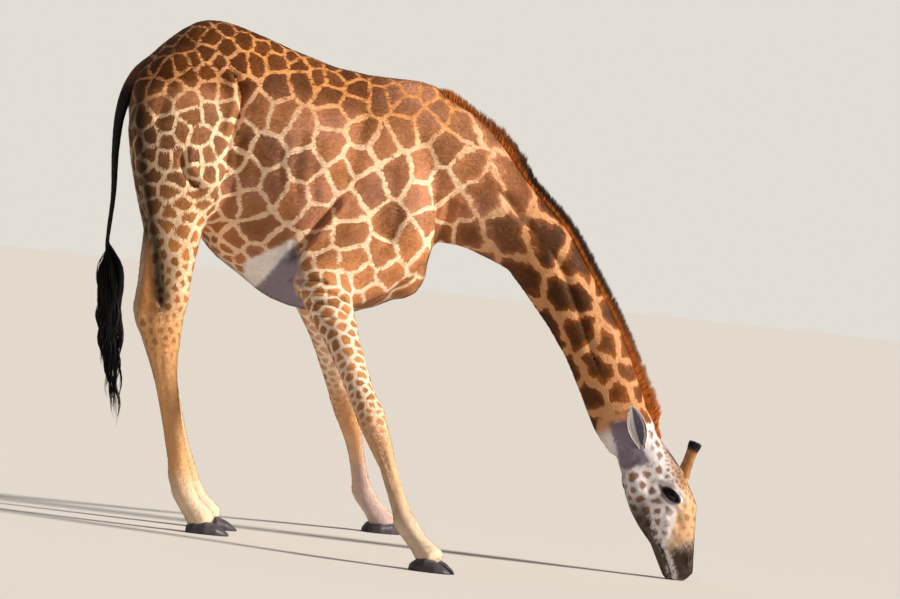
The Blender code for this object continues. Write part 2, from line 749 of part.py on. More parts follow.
def tail(collection):
    """The bare stalk of the tail, hanging from the croup."""
    stations = [
        Station((-1.356, 0.0, 2.135), 0.060, 0.044),
        Station((-1.436, 0.0, 2.078), 0.044, 0.038),
        Station((-1.488, 0.0, 1.986), 0.034, 0.030),
        Station((-1.513, 0.0, 1.865), 0.025, 0.025),
        Station((-1.515, -0.002, 1.705), 0.019, 0.020),
        Station((-1.503, -0.004, 1.505), 0.013, 0.014),
        Station((-1.508, -0.006, TUFT_TOP), 0.010, 0.011),
    ]
    bm = bmesh.new()
    add_loft(bm, stations, Vector((1.0, 0.0, 0.2)), sides=8, steps=1, dome=0.05)
    return link_mesh(bm, "tail", collection)


def tail_tuft(collection):
    """The long black hair below the bare tail."""
    top = TUFT_TOP - 4 * GAP
    stations = [
        Station((-1.508, -0.006, top - 0.004), 0.016, 0.016),
        Station((-1.500, -0.006, top - 0.050), 0.056, 0.044),
        Station((-1.482, -0.006, top - 0.130), 0.070, 0.054),
        Station((-1.466, -0.006, top - 0.300), 0.074, 0.056),
        Station((-1.445, -0.006, top - 0.480), 0.066, 0.050),
        Station((-1.413, -0.006, top - 0.660), 0.050, 0.038),
        Station((-1.383, -0.006, top - 0.800), 0.030, 0.024),
        Station((-1.363, -0.006, top - 0.890), 0.012, 0.012),
    ]
    bm = bmesh.new()
    add_loft(bm, stations, Vector((1.0, 0.0, 0.0)), sides=10, steps=1, dome=0.05)
    return link_mesh(bm, "tail_tuft", collection)


def side_name(side):
    return "left" if side > 0 else "right"


# Naming ------------------------------------------------------------------------------------------
def naming_points():
    """A point inside each piece of the parted body, for the right side or the middle."""
    fore = [Vector(s.at) for s in foreleg_stations()]
    hind = [Vector(s.at) for s in hindleg_stations()]
    neck = [Vector(s.at) for s in neck_stations()]
    middle = {
        "head": in_head(0.30, 0.0, 0.0),
        "neck_upper": neck[9],
        "neck_middle": neck[6].lerp(neck[7], 0.5),
        "neck_lower": neck[4],
        "trunk": Vector((-0.55, 0.0, 1.65)),
    }
    paired = {
        "foreleg_upper": fore[3],
        "foreleg_cannon": fore[8],
        "foreleg_foot": fore[11],
        "thigh": hind[3],
        "shank": hind[6],
        "hindleg_cannon": hind[12],
        "hindleg_foot": hind[16],
    }
    return middle, paired


def name_pieces(pieces):
    """Names each piece of the body for the point that lies nearest to the middle of its box."""
    middle, paired = naming_points()
    wanted = dict(middle)
    for name, point in paired.items():
        wanted[f"{name}_right"] = point
        wanted[f"{name}_left"] = Vector((point.x, -point.y, point.z))
    pieces.sort(key=lambda piece: -len(piece.data.vertices))
    for piece in pieces:
        centre = box_middle(piece)
        name = min(wanted, key=lambda n: (wanted[n] - centre).length)
        del wanted[name]
        piece.name = name
        piece.data.name = name


def box_middle(obj):
    middle = []
    for axis in range(3):
        values = [v.co[axis] for v in obj.data.vertices]
        middle.append((min(values) + max(values)) / 2)
    return Vector(middle)


def loose_pieces(body, collection):
    """Each connected solid of a mesh as an object, leaving out slivers; the mesh itself is removed."""
    bm = bmesh.new()
    bm.from_mesh(body.data)
    unseen = set(bm.verts)
    pieces = []
    while unseen:
        stack = [unseen.pop()]
        island = set(stack)
        while stack:
            for edge in stack.pop().link_edges:
                for vertex in edge.verts:
                    if vertex not in island:
                        island.add(vertex)
                        stack.append(vertex)
        unseen -= island
        piece = bmesh.new()
        order = [v for v in bm.verts if v in island]
        copies = {v: piece.verts.new(v.co) for v in order}
        for face in bm.faces:
            if face.verts[0] in island:
                piece.faces.new([copies[v] for v in face.verts])
        if abs(piece.calc_volume()) < SLIVER:
            piece.free()
            continue
        pieces.append(link_mesh(piece, "piece", collection))
    bm.free()
    bpy.data.objects.remove(body, do_unlink=True)
    return pieces


def flatten_at_floor(body, cutters):
    """Takes off what is below the floor, so that the lips rest on a small flat."""
    bm = bmesh.new()
    matrix = Matrix.Translation((0.0, 0.0, -0.5)) @ Matrix.Diagonal((6.0, 6.0, 1.0, 1.0))
    bmesh.ops.create_cube(bm, size=1.0, matrix=matrix)
    cut(body, cutter_from(bm, "below_floor", cutters))


def centre_on_origin(collection):
    """Moves every solid so that the bottom of the whole box is centred on the origin."""
    points = [obj.matrix_world @ v.co for obj in collection.objects for v in obj.data.vertices]
    middle_x = (min(p.x for p in points) + max(p.x for p in points)) / 2
    middle_y = (min(p.y for p in points) + max(p.y for p in points)) / 2
    low = min(p.z for p in points)
    move = Matrix.Translation((-middle_x, -middle_y, -low))
    for obj in collection.objects:
        obj.data.transform(move)


def paint(collection):
    finishes = {
        "coat": material("coat_patched", COLOURS["coat"], 0.75),
        "leg": material("coat_leg", COLOURS["leg"], 0.75),
        "mane": material("mane_hair", COLOURS["mane"], 0.8),
        "black": material("black_hair", COLOURS["black"], 0.7),
        "horn": material("hoof_horn", COLOURS["horn"], 0.55),
        "eye": material("eye_wet", COLOURS["eye"], 0.1),
    }
    for obj in collection.objects:
        obj.data.materials.clear()
        obj.data.materials.append(finishes[finish_of(obj.name)])


def finish_of(name):
    if name.startswith("claw"):
        return "horn"
    if name.startswith("eye"):
        return "eye"
    if name.startswith("mane"):
        return "mane"
    if name.startswith("tail"):
        return "black"
    if "cannon" in name or "foot" in name:
        return "leg"
    return "coat"


def main():
    clear_scene()
    giraffe = new_collection("giraffe")
    cutters = new_collection("cutters")

    body = fused_body(giraffe)
    flatten_at_floor(body, cutters)
    pieces = part_body(body, cutters, giraffe)

    set_in = claws(giraffe) + [mane(giraffe), tail(giraffe)]
    for side in (-1.0, 1.0):
        set_in += [eye(side, giraffe), ossicone(side, giraffe)]
        pieces = cut_apart(pieces, swollen(ear(side, giraffe), cutters, hull=True), giraffe)
    for solid in set_in:
        pieces = cut_apart(pieces, swollen(solid, cutters), giraffe)
    tail_tuft(giraffe)

    name_pieces(pieces)
    for cutter in list(cutters.objects):
        bpy.data.objects.remove(cutter, do_unlink=True)
    centre_on_origin(giraffe)
    paint(giraffe)


main()
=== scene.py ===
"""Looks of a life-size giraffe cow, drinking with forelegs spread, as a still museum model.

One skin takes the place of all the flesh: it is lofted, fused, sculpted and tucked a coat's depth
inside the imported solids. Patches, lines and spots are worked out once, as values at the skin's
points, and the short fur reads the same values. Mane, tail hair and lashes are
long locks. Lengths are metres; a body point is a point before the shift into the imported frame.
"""

import logging
import math
from dataclasses import dataclass, field
from enum import Enum

import bmesh
import bpy
import numpy as np
from mathutils import Matrix, Vector, noise
from mathutils.bvhtree import BVHTree
from mathutils.kdtree import KDTree

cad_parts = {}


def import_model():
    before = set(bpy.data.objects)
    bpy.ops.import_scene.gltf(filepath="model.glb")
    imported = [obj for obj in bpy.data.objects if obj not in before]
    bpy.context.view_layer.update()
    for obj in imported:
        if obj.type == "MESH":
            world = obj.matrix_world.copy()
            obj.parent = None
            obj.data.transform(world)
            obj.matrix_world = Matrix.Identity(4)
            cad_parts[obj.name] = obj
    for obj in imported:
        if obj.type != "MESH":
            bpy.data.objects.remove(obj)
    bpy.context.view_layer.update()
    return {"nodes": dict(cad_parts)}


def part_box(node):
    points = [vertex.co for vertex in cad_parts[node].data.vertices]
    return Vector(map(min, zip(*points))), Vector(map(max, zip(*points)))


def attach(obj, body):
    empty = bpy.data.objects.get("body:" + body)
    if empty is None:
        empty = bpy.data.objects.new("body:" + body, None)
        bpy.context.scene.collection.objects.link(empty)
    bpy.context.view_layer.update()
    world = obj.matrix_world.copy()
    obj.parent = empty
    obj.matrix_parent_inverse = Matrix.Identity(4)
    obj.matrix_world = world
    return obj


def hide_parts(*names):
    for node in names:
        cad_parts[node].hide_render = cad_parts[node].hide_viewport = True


log = logging.getLogger("giraffe")
Array = np.ndarray
Socket = bpy.types.NodeSocket
Value = Socket | float | tuple

# Driving sizes ---------------------------------------------------------------------------------
COAT_DEPTH = 0.0045
RING_SIDES = 32
STEPS = 6
WEIGHT_LEVELS = 20
NOISE_SEED = 7

POLL = Vector((1.066, 0.0, 0.612))
HEAD_PITCH = math.radians(68.3)
HEAD_DOWN = Vector((math.cos(HEAD_PITCH), 0.0, -math.sin(HEAD_PITCH)))
HEAD_FACE = Vector((math.sin(HEAD_PITCH), 0.0, math.cos(HEAD_PITCH)))

EYE_RADIUS = 0.030
EYE_AT = (0.262, 0.066, 0.086)
LIDS_TILT = math.radians(34.0)
LIDS_LONG = 0.0365
LIDS_UP = 0.0182
LIDS_DOWN = 0.0145
OSSICONE_LENGTH = 0.165
OSSICONE_RADIUS = 0.021
OSSICONE_AT = (0.200, 0.146, 0.052)
OSSICONE_LEAN = math.radians(37.0)
EAR_LENGTH = 0.215
EAR_WIDTH = 0.092
EAR_AT = (0.014, -0.006, 0.084)
CLAW_LENGTH = 0.200
CLAW_WIDTH = 0.078
CLAW_HEIGHT = 0.078
CLAW_CLEFT = 0.004
TUFT_TOP = 1.297
FORE_HOOF_AT = (0.030, -1.452)
FORE_HOOF_HEADING = math.radians(-32.0)
HIND_HOOF_AT = (-0.918, -0.252)
HIND_HOOF_HEADING = math.radians(-7.0)
FAR_HIND_STEP = 0.065


class Side(Enum):
    """The two sides of the animal, by the sign of Y."""

    RIGHT = -1.0
    LEFT = 1.0

    @property
    def label(self) -> str:
        """The side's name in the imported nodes."""
        return self.name.lower()


class Part(Enum):
    """The parts that the short fur is divided into."""

    REAR = 0
    BARREL = 1
    CHEST = 2
    NECK = 3
    HEAD = 4
    FORE_RIGHT = 5
    FORE_LEFT = 6
    HIND_RIGHT = 7
    HIND_LEFT = 8


# Small helpers ---------------------------------------------------------------------------------
def smooth(low: float, high: float, values: Array) -> Array:
    """Rises smoothly from 0 at low to 1 at high; high may be the lower of the two."""
    t = np.clip((values - low) / (high - low), 0.0, 1.0)
    return t * t * (3.0 - 2.0 * t)


def bell(values: Array, middle: float, width: float) -> Array:
    """A bell curve of height 1."""
    return np.exp(-(((values - middle) / width) ** 2))


def blend(old: Array, new: Array | float, share: Array) -> Array:
    """Old values at a share of 0, passing into new ones at 1."""
    return old * (1 - share) + new * share


def unit(vectors: Array) -> Array:
    """The vectors at length 1."""
    length = np.linalg.norm(vectors, axis=-1, keepdims=True)
    return vectors / np.maximum(length, 1e-9)


def linear(red: int, green: int, blue: int) -> tuple[float, float, float]:
    """A screen colour as linear light.

    Args:
        red: Red from 0 to 255.
        green: Green from 0 to 255.
        blue: Blue from 0 to 255.

    Returns:
        The three linear values.
    """
    made = []
    for value in (red, green, blue):
        share = value / 255.0
        made.append(share / 12.92 if share <= 0.04045 else ((share + 0.055) / 1.055) ** 2.4)
    return made[0], made[1], made[2]


def points_of(mesh: bpy.types.Mesh) -> Array:
    """A mesh's vertex places, one row each.

    Args:
        mesh: The mesh.

    Returns:
        One row for each vertex.
    """
    found = np.empty(len(mesh.vertices) * 3, np.float32)
    mesh.vertices.foreach_get("co", found)
    return found.reshape(-1, 3).astype(float)


def normals_of(mesh: bpy.types.Mesh) -> Array:
    """A mesh's vertex normals, one row each.

    Args:
        mesh: The mesh.

    Returns:
        One row for each vertex.
    """
    found = np.empty(len(mesh.vertices) * 3, np.float32)
    mesh.vertex_normals.foreach_get("vector", found)
    return found.reshape(-1, 3).astype(float)


def move_points(mesh: bpy.types.Mesh, points: Array) -> None:
    """Gives a mesh's vertices new places."""
    mesh.vertices.foreach_set("co", points.astype(np.float32).ravel())
    mesh.update()


def set_values(mesh: bpy.types.Mesh, name: str, values: Array) -> None:
    """Stores a number, or three, at each vertex.

    Args:
        mesh: The mesh that takes them.
        name: The attribute's name.
        values: One row or number for each vertex.
    """
    kind, slot = ("FLOAT_VECTOR", "vector") if values.ndim == 2 else ("FLOAT", "value")
    made = mesh.attributes.new(name, kind, "POINT")
    made.data.foreach_set(slot, np.ascontiguousarray(values, np.float32).ravel())


def baked(obj: bpy.types.Object) -> None:
    """Applies an object's modifiers.

    Args:
        obj: The object.
    """
    bpy.context.view_layer.update()
    graph = bpy.context.evaluated_depsgraph_get()
    mesh = bpy.data.meshes.new_from_object(obj.evaluated_get(graph))
    obj.modifiers.clear()
    obj.data = mesh


def new_object(name: str, mesh: bpy.types.Mesh) -> bpy.types.Object:
    """Links a new object of a mesh to the scene.

    Args:
        name: The name.
        mesh: Its mesh.

    Returns:
        The object.
    """
    obj = bpy.data.objects.new(name, mesh)
    bpy.context.scene.collection.objects.link(obj)
    return obj


def mesh_from(name: str, points: Array, faces: Array) -> bpy.types.Mesh:
    """A smooth-shaded mesh of faces that all have the same number of corners.

    Args:
        name: The name.
        points: Places, one row each.
        faces: Rows of point numbers.

    Returns:
        The mesh.
    """
    mesh = bpy.data.meshes.new(name)
    corners = faces.shape[1]
    mesh.vertices.add(len(points))
    mesh.vertices.foreach_set("co", points.astype(np.float32).ravel())
    mesh.loops.add(faces.size)
    mesh.loops.foreach_set("vertex_index", faces.astype(np.int32).ravel())
    mesh.polygons.add(len(faces))
    mesh.polygons.foreach_set("loop_start", np.arange(0, faces.size, corners, dtype=np.int32))
    mesh.polygons.foreach_set("loop_total", np.full(len(faces), corners, np.int32))
    mesh.update(calc_edges=True)
    mesh.shade_smooth()
    return mesh


def noise_at(points: Array, scale: float, shift: float = 0.0) -> Array:
    """Smooth noise from -1 to 1 at each point, with features of the given size."""
    offset = Vector((shift, shift * 1.7, -shift))
    return np.array([noise.noise(Vector(p) / scale + offset) for p in points])


def noise_vectors(points: Array, scale: float, shift: float = 0.0) -> Array:
    """Smooth noise vectors at each point, with features of the given size."""
    offset = Vector((shift, shift * 1.7, -shift))
    return np.array([noise.noise_vector(Vector(p) / scale + offset) for p in points])


def in_head(along: float, face: float, side: float) -> Vector:
    """A body point from distances down the head, towards the face and to the left."""
    return POLL + HEAD_DOWN * along + HEAD_FACE * face + Vector((0.0, side, 0.0))


def across_lids(points: Array) -> tuple[Array, Array, Array, Array]:
    """Where body points lie in the eye's own frame, alike on both sides.

    Args:
        points: Body points.

    Returns:
        Distance along the lids towards the nose, height over them, distance out of the head, and
        the almond measure, which is 1 on the lids' edge.
    """
    offset = points * np.array([1.0, 0.0, 1.0]) - np.array(in_head(EYE_AT[0], EYE_AT[1], 0.0))
    along = offset @ np.array(HEAD_DOWN)
    face = offset @ np.array(HEAD_FACE)
    length = along * math.cos(LIDS_TILT) + face * math.sin(LIDS_TILT)
    height = face * math.cos(LIDS_TILT) - along * math.sin(LIDS_TILT)
    tall = np.where(height > 0, LIDS_UP, LIDS_DOWN)
    almond = np.sqrt((length / LIDS_LONG) ** 2 + (height / tall) ** 2)
    return length, height, np.abs(points[:, 1]) - EYE_AT[2], almond


def join_rings(bm: bmesh.types.BMesh, loops: list[list[bmesh.types.BMVert]]) -> None:
    """Joins rings of points into a tube and closes its ends.

    Args:
        bm: The mesh that takes it.
        loops: The rings, each with as many points.
    """
    count = len(loops[0])
    for lower, upper in zip(loops, loops[1:]):
        for step in range(count):
            after = (step + 1) % count
            bm.faces.new((lower[step], lower[after], upper[after], upper[step]))
    bm.faces.new(list(reversed(loops[0])))
    bm.faces.new(loops[-1])


def mesh_of(name: str, bm: bmesh.types.BMesh) -> bpy.types.Mesh:
    """Turns a finished form into a smooth-shaded mesh.

    Args:
        name: The mesh's name.
        bm: The form, which is freed.

    Returns:
        The mesh.
    """
    mesh = bpy.data.meshes.new(name)
    bm.to_mesh(mesh)
    bm.free()
    mesh.shade_smooth()
    return mesh


def sort_faces(bm: bmesh.types.BMesh) -> None:
    """Puts a sphere's faces in one order, as they come in another order each run.

    Args:
        bm: The sphere.
    """
    bm.verts.index_update()
    numbers = {face: [v.index for v in face.verts] for face in bm.faces}
    total = len(bm.verts)
    bm.faces.sort(key=lambda face: total * sum(numbers[face]) + max(numbers[face]))


# Lofts -----------------------------------------------------------------------------------------
@dataclass(frozen=True)
class Station:
    """One ring of a loft: where it is, half its depth and half its width."""

    at: tuple
    deep: float
    wide: float
    pear: float = 0.0
    square: float = 2.0


def smooth_between(values: list, index: int, t: float) -> float | Vector:
    """Catmull-Rom value between values[index] and values[index + 1].

    Args:
        values: Numbers or vectors.
        index: The value before the place.
        t: The share of the way to the next value.

    Returns:
        The value there.
    """
    last = len(values) - 1
    a = values[max(index - 1, 0)]
    b = values[index]
    c = values[min(index + 1, last)]
    d = values[min(index + 2, last)]
    return 0.5 * (2 * b + (c - a) * t + (2 * a - 5 * b + 4 * c - d) * t * t + (3 * b - a - 3 * c + d) * t**3)


def refine(stations: list[Station], steps: int) -> list[Station]:
    """More stations on a smooth curve through the given ones.

    Args:
        stations: The rings.
        steps: Stations from each to the next.

    Returns:
        The stations.
    """
    columns = [
        [Vector(s.at) for s in stations],
        [s.deep for s in stations],
        [s.wide for s in stations],
        [s.pear for s in stations],
        [s.square for s in stations],
    ]
    fine = []
    for index in range(len(stations) - 1):
        for step in range(steps):
            fine.append(Station(*(smooth_between(column, index, step / steps) for column in columns)))
    fine.append(Station(Vector(stations[-1].at), *(column[-1] for column in columns[1:])))
    return fine


def ring_points(station: Station, along: Vector, hint: Vector, sides: int) -> list[Vector]:
    """The points of one ring, square to a direction.

    Args:
        station: The ring.
        along: The direction.
        hint: The direction of the rings' depth.
        sides: Points round the ring.

    Returns:
        The points, in order.
    """
    deep_way = (hint - along * hint.dot(along)).normalized()
    wide_way = along.cross(deep_way).normalized()
    power = 2.0 / station.square
    points = []
    for side in range(sides):
        angle = 2 * math.pi * side / sides
        c, s = math.cos(angle), math.sin(angle)
        deep = math.copysign(abs(c) ** power, c) * station.deep
        wide = math.copysign(abs(s) ** power, s) * station.wide * (1 + station.pear * c)
        points.append(Vector(station.at) + deep_way * deep + wide_way * wide)
    return points


def capped(ring: tuple[Station, Vector], dome: float, share: float) -> tuple[Station, Vector]:
    """A smaller ring beyond the end of a loft, on an ellipse of the given dome height.

    Args:
        ring: The last ring and the loft's direction.
        dome: The cap's height.
        share: The place up the cap, from 0 to 1.

    Returns:
        The smaller ring and the direction.
    """
    station, along = ring
    shrink = math.sqrt(1 - share * share)
    size = min(station.deep, station.wide)
    at = Vector(station.at) + along * (dome * share * size)
    return Station(at, station.deep * shrink, station.wide * shrink, station.pear, station.square), along


def add_loft(
    bm: bmesh.types.BMesh,
    stations: list[Station],
    hint: Vector,
    sides: int = RING_SIDES,
    steps: int = STEPS,
    dome: float = 0.55,
    facing: Vector | None = None,
) -> None:
    """Adds a closed tube through the stations, with domed ends.

    Args:
        bm: The mesh that takes it.
        stations: The rings that the tube runs through.
        hint: The direction of the rings' depth.
        sides: Points round a ring.
        steps: Rings from one station to the next.
        dome: Height of the ends, as a share of the ring's smaller half size.
        facing: The way that all rings face; without it each stands square to the path.
    """
    fine = refine(stations, steps)
    centres = [Vector(s.at) for s in fine]
    rings = []
    for index, station in enumerate(fine):
        along = centres[min(index + 1, len(fine) - 1)] - centres[max(index - 1, 0)]
        rings.append((station, facing or along.normalized()))
    front = [capped(rings[0], -dome, share) for share in (0.97, 0.80, 0.45)]
    back = [capped(rings[-1], dome, share) for share in (0.45, 0.80, 0.97)]
    loops = []
    for station, along in front + rings + back:
        loops.append([bm.verts.new(p) for p in ring_points(station, along, hint, sides)])
    join_rings(bm, loops)


def add_ball(bm: bmesh.types.BMesh, centre: tuple, radii: tuple, turn: Matrix | None = None) -> None:
    """Adds an ellipsoid, with radii along its own X, Y and Z.

    Args:
        bm: The mesh that takes it.
        centre: Its middle.
        radii: Its three half sizes.
        turn: The turn of its axes.
    """
    matrix = Matrix.Translation(Vector(centre))
    if turn is not None:
        matrix = matrix @ turn.to_4x4()
    matrix = matrix @ Matrix.Diagonal((*radii, 1.0))
    bmesh.ops.create_icosphere(bm, subdivisions=3, radius=1.0, matrix=matrix)


def head_turn() -> Matrix:
    """The turn that brings X onto the head's axis and Z onto the face.

    Returns:
        The turn.
    """
    side = Vector((0.0, 1.0, 0.0))
    face = HEAD_DOWN.cross(side).normalized()
    return Matrix((HEAD_DOWN, side, face)).transposed()


# The body's stations ---------------------------------------------------------------------------
def trunk_stations() -> list[Station]:
    """Rings from the rump to the chest: x, top, bottom, half width and pear.

    Returns:
        The rings.
    """
    rows = (
        (-1.447, 2.100, 1.880, 0.080, -0.10),
        (-1.391, 2.192, 1.770, 0.145, -0.10),
        (-1.266, 2.310, 1.610, 0.205, -0.12),
        (-1.170, 2.362, 1.490, 0.228, -0.15),
        (-1.048, 2.362, 1.310, 0.238, -0.18),
        (-0.890, 2.318, 1.200, 0.250, -0.20),
        (-0.760, 2.274, 1.118, 0.285, -0.22),
        (-0.646, 2.242, 1.080, 0.302, -0.24),
        (-0.540, 2.212, 1.068, 0.304, -0.26),
        (-0.392, 2.194, 1.070, 0.286, -0.28),
        (-0.250, 2.190, 1.112, 0.254, -0.28),
        (-0.138, 2.188, 1.172, 0.220, -0.25),
        (-0.060, 2.172, 1.240, 0.180, -0.20),
        (-0.020, 2.120, 1.330, 0.135, -0.10),
    )
    stations = []
    for x, top, bottom, wide, pear in rows:
        stations.append(Station((x, 0.0, (top + bottom) / 2), (top - bottom) / 2, wide, pear, 2.15))
    return stations


def neck_stations() -> list[Station]:
    """Rings from inside the chest to behind the jaw: centre x and z, half depth, half width.

    Returns:
        The rings.
    """
    rows = (
        (-0.260, 1.780, 0.395, 0.170),
        (-0.110, 1.770, 0.375, 0.170),
        (0.025, 1.742, 0.332, 0.162),
        (0.157, 1.682, 0.272, 0.148),
        (0.284, 1.606, 0.216, 0.130),
        (0.451, 1.497, 0.178, 0.112),
        (0.546, 1.393, 0.169, 0.104),
        (0.689, 1.205, 0.154, 0.094),
        (0.803, 1.034, 0.148, 0.089),
        (0.912, 0.818, 0.141, 0.086),
        (0.961, 0.721, 0.138, 0.086),
        (1.025, 0.629, 0.127, 0.083),
    )
    return [Station((x, 0.0, z), deep, wide, 0.08) for x, z, deep, wide in rows]


def head_stations() -> list[Station]:
    """Rings down the head: distance, face height, jaw height, half width, pear, squareness.

    Returns:
        The rings.
    """
    rows = (
        (-0.030, 0.088, -0.128, 0.080, 0.05, 2.1),
        (0.050, 0.108, -0.128, 0.092, 0.12, 2.2),
        (0.130, 0.138, -0.128, 0.102, 0.22, 2.3),
        (0.210, 0.160, -0.136, 0.106, 0.28, 2.3),
        (0.290, 0.172, -0.130, 0.098, 0.26, 2.3),
        (0.370, 0.168, -0.112, 0.078, 0.16, 2.3),
        (0.440, 0.146, -0.092, 0.063, 0.06, 2.3),
        (0.510, 0.118, -0.078, 0.056, 0.02, 2.4),
        (0.570, 0.100, -0.072, 0.058, 0.02, 2.5),
        (0.620, 0.083, -0.070, 0.060, 0.04, 2.6),
    )
    stations = []
    for along, face, jaw, wide, pear, square in rows:
        at = in_head(along, (face + jaw) / 2, 0.0)
        stations.append(Station(at, (face - jaw) / 2, wide, pear, square))
    return stations


def foreleg_stations() -> list[Station]:
    """The right foreleg from inside the elbow to the coronet.

    Returns:
        The rings.
    """
    rows = (
        ((-0.532, -0.315, 1.256), 0.128, 0.092),
        ((-0.491, -0.400, 1.140), 0.120, 0.084),
        ((-0.438, -0.500, 1.019), 0.094, 0.074),
        ((-0.381, -0.625, 0.888), 0.076, 0.064),
        ((-0.317, -0.760, 0.737), 0.065, 0.058),
        ((-0.256, -0.875, 0.604), 0.066, 0.060),
        ((-0.218, -0.945, 0.520), 0.057, 0.054),
        ((-0.186, -1.035, 0.436), 0.044, 0.043),
        ((-0.148, -1.160, 0.328), 0.042, 0.042),
        ((-0.114, -1.275, 0.234), 0.047, 0.047),
        ((-0.082, -1.345, 0.174), 0.054, 0.054),
        ((-0.039, -1.392, 0.120), 0.050, 0.054),
        ((0.006, -1.428, 0.072), 0.062, 0.066),
        ((0.023, -1.440, 0.054), 0.066, 0.070),
    )
    return [Station(at, deep, wide) for at, deep, wide in rows]


def hindleg_stations() -> list[Station]:
    """The right hind leg from the hip to the coronet.

    Returns:
        The rings.
    """
    rows = (
        ((-1.252, -0.140, 2.012), 0.200, 0.112, 0.0),
        ((-1.237, -0.165, 1.872), 0.234, 0.124, 0.0),
        ((-1.225, -0.184, 1.713), 0.222, 0.126, 0.0),
        ((-1.218, -0.200, 1.553), 0.188, 0.112, 0.0),
        ((-1.213, -0.212, 1.413), 0.146, 0.094, 0.05),
        ((-1.203, -0.220, 1.283), 0.110, 0.078, 0.10),
        ((-1.190, -0.224, 1.153), 0.082, 0.064, 0.10),
        ((-1.199, -0.224, 1.043), 0.080, 0.056, 0.05),
        ((-1.221, -0.225, 0.953), 0.094, 0.055, 0.0),
        ((-1.215, -0.226, 0.873), 0.088, 0.052, 0.0),
        ((-1.200, -0.228, 0.783), 0.070, 0.046, 0.0),
        ((-1.180, -0.230, 0.684), 0.057, 0.042, 0.0),
        ((-1.139, -0.234, 0.525), 0.050, 0.040, 0.0),
        ((-1.095, -0.238, 0.356), 0.050, 0.042, 0.0),
        ((-1.062, -0.242, 0.246), 0.056, 0.048, 0.0),
        ((-1.045, -0.245, 0.187), 0.061, 0.053, 0.0),
        ((-1.007, -0.248, 0.128), 0.058, 0.056, 0.0),
        ((-0.964, -0.250, 0.079), 0.066, 0.066, 0.0),
        ((-0.947, -0.250, 0.055), 0.070, 0.070, 0.0),
    )
    return [Station(at, deep, wide, pear) for at, deep, wide, pear in rows]


def mirrored(stations: list[Station], step: float = 0.0) -> list[Station]:
    """The stations of the other side, leaning forward by a step at the floor.

    Args:
        stations: The right side's rings.
        step: How far forward the foot stands.

    Returns:
        The left side's rings.
    """
    made = []
    for s in stations:
        x, y, z = s.at
        ahead = step * max(0.0, 1 - z / 0.95)
        made.append(Station((x + ahead, -y, z), s.deep, s.wide, s.pear, s.square))
    return made


# Where a point lies ----------------------------------------------------------------------------
@dataclass(frozen=True)
class Axis:
    """The middle line of a limb, as many close points."""

    points: Array
    ways: Array
    lengths: Array
    hint: Vector

    @staticmethod
    def of(stations: list[Station], hint: Vector) -> "Axis":
        """The axis through some stations, with the direction its angles start from.

        Args:
            stations: The rings.
            hint: The direction that angles start from.

        Returns:
            The axis.
        """
        points = np.array([tuple(s.at) for s in refine(stations, 6)])
        ways = unit(np.gradient(points, axis=0))
        steps = np.linalg.norm(np.diff(points, axis=0), axis=1)
        return Axis(points, ways, np.concatenate([[0.0], np.cumsum(steps)]), hint)

    def chart(self, points: Array) -> tuple[Array, Array, Array]:
        """Where points lie along and round the axis.

        Args:
            points: Body points.

        Returns:
            The share of the axis' length, the angle round it in turns, and the axis' direction.
        """
        tree = KDTree(len(self.points))
        for index, point in enumerate(self.points):
            tree.insert(point, index)
        tree.balance()
        nearest = np.array([tree.find(p)[1] for p in points])
        way = self.ways[nearest]
        offset = points - self.points[nearest]
        ahead = np.einsum("ij,ij->i", offset, way)
        share = (self.lengths[nearest] + ahead) / self.lengths[-1]
        deep = np.array(self.hint) - way * (way @ np.array(self.hint))[:, None]
        deep = unit(deep)
        wide = np.cross(way, deep)
        angle = np.arctan2(np.einsum("ij,ij->i", offset, wide), np.einsum("ij,ij->i", offset, deep))
        return share, angle / (2 * math.pi), way


class Anatomy:
    """Names and measures of where body points lie: part, place in the head, share of a limb."""

    def __init__(self, points: Array) -> None:
        """Works out the measures.

        Args:
            points: Body points, one row each.
        """
        self.points = points
        self.x, self.y, self.z = points.T
        offset = points - np.array(POLL)
        self.along = offset @ np.array(HEAD_DOWN)
        self.face = offset @ np.array(HEAD_FACE)
        up_front = (self.x > 0.02) & (self.z > 0.42 - 0.55 * (self.x - 1.0))
        self.neck = smooth(0.00, 0.24, self.x) * np.where(up_front | (self.x > 0.6), 1.0, 0.0)
        self.head = smooth(-0.05, 0.05, self.along) * (self.x > 0.90)
        fore_zone = (self.x > -0.85) & (self.x < 0.25)
        spread = np.abs(self.y)
        low = smooth(1.34, 1.08, self.z + 0.35 * np.maximum(0.36 - spread, 0.0))
        self.fore = low * fore_zone * smooth(0.20, 0.32, spread)
        self.hind = smooth(1.56, 1.20, self.z) * (self.x < -0.86) * smooth(0.05, 0.12, spread)
        self.hind = self.hind * smooth(-0.90, -1.04, self.x - 0.10 * smooth(1.2, 0.5, self.z))
        legs_below = (self.x < -0.80) & (self.z < 1.05)
        self.hind = np.where(legs_below, 1.0, self.hind)
        self.part = self.sort_parts()

    def sort_parts(self) -> Array:
        """The number of the part that each point belongs to.

        Returns:
            Part numbers.
        """
        right = self.y < 0
        part = np.full(len(self.x), Part.BARREL.value)
        part[self.x < -0.92] = Part.REAR.value
        part[self.x > -0.42] = Part.CHEST.value
        part[(self.x > 0.12) & (self.z > 0.30)] = Part.NECK.value
        part[(self.head > 0.5) & (self.x > 0.90)] = Part.HEAD.value
        fore = (self.fore > 0.5) & (part != Part.HEAD.value)
        part[fore & right] = Part.FORE_RIGHT.value
        part[fore & ~right] = Part.FORE_LEFT.value
        hind = self.hind > 0.5
        part[hind & right] = Part.HIND_RIGHT.value
        part[hind & ~right] = Part.HIND_LEFT.value
        return part


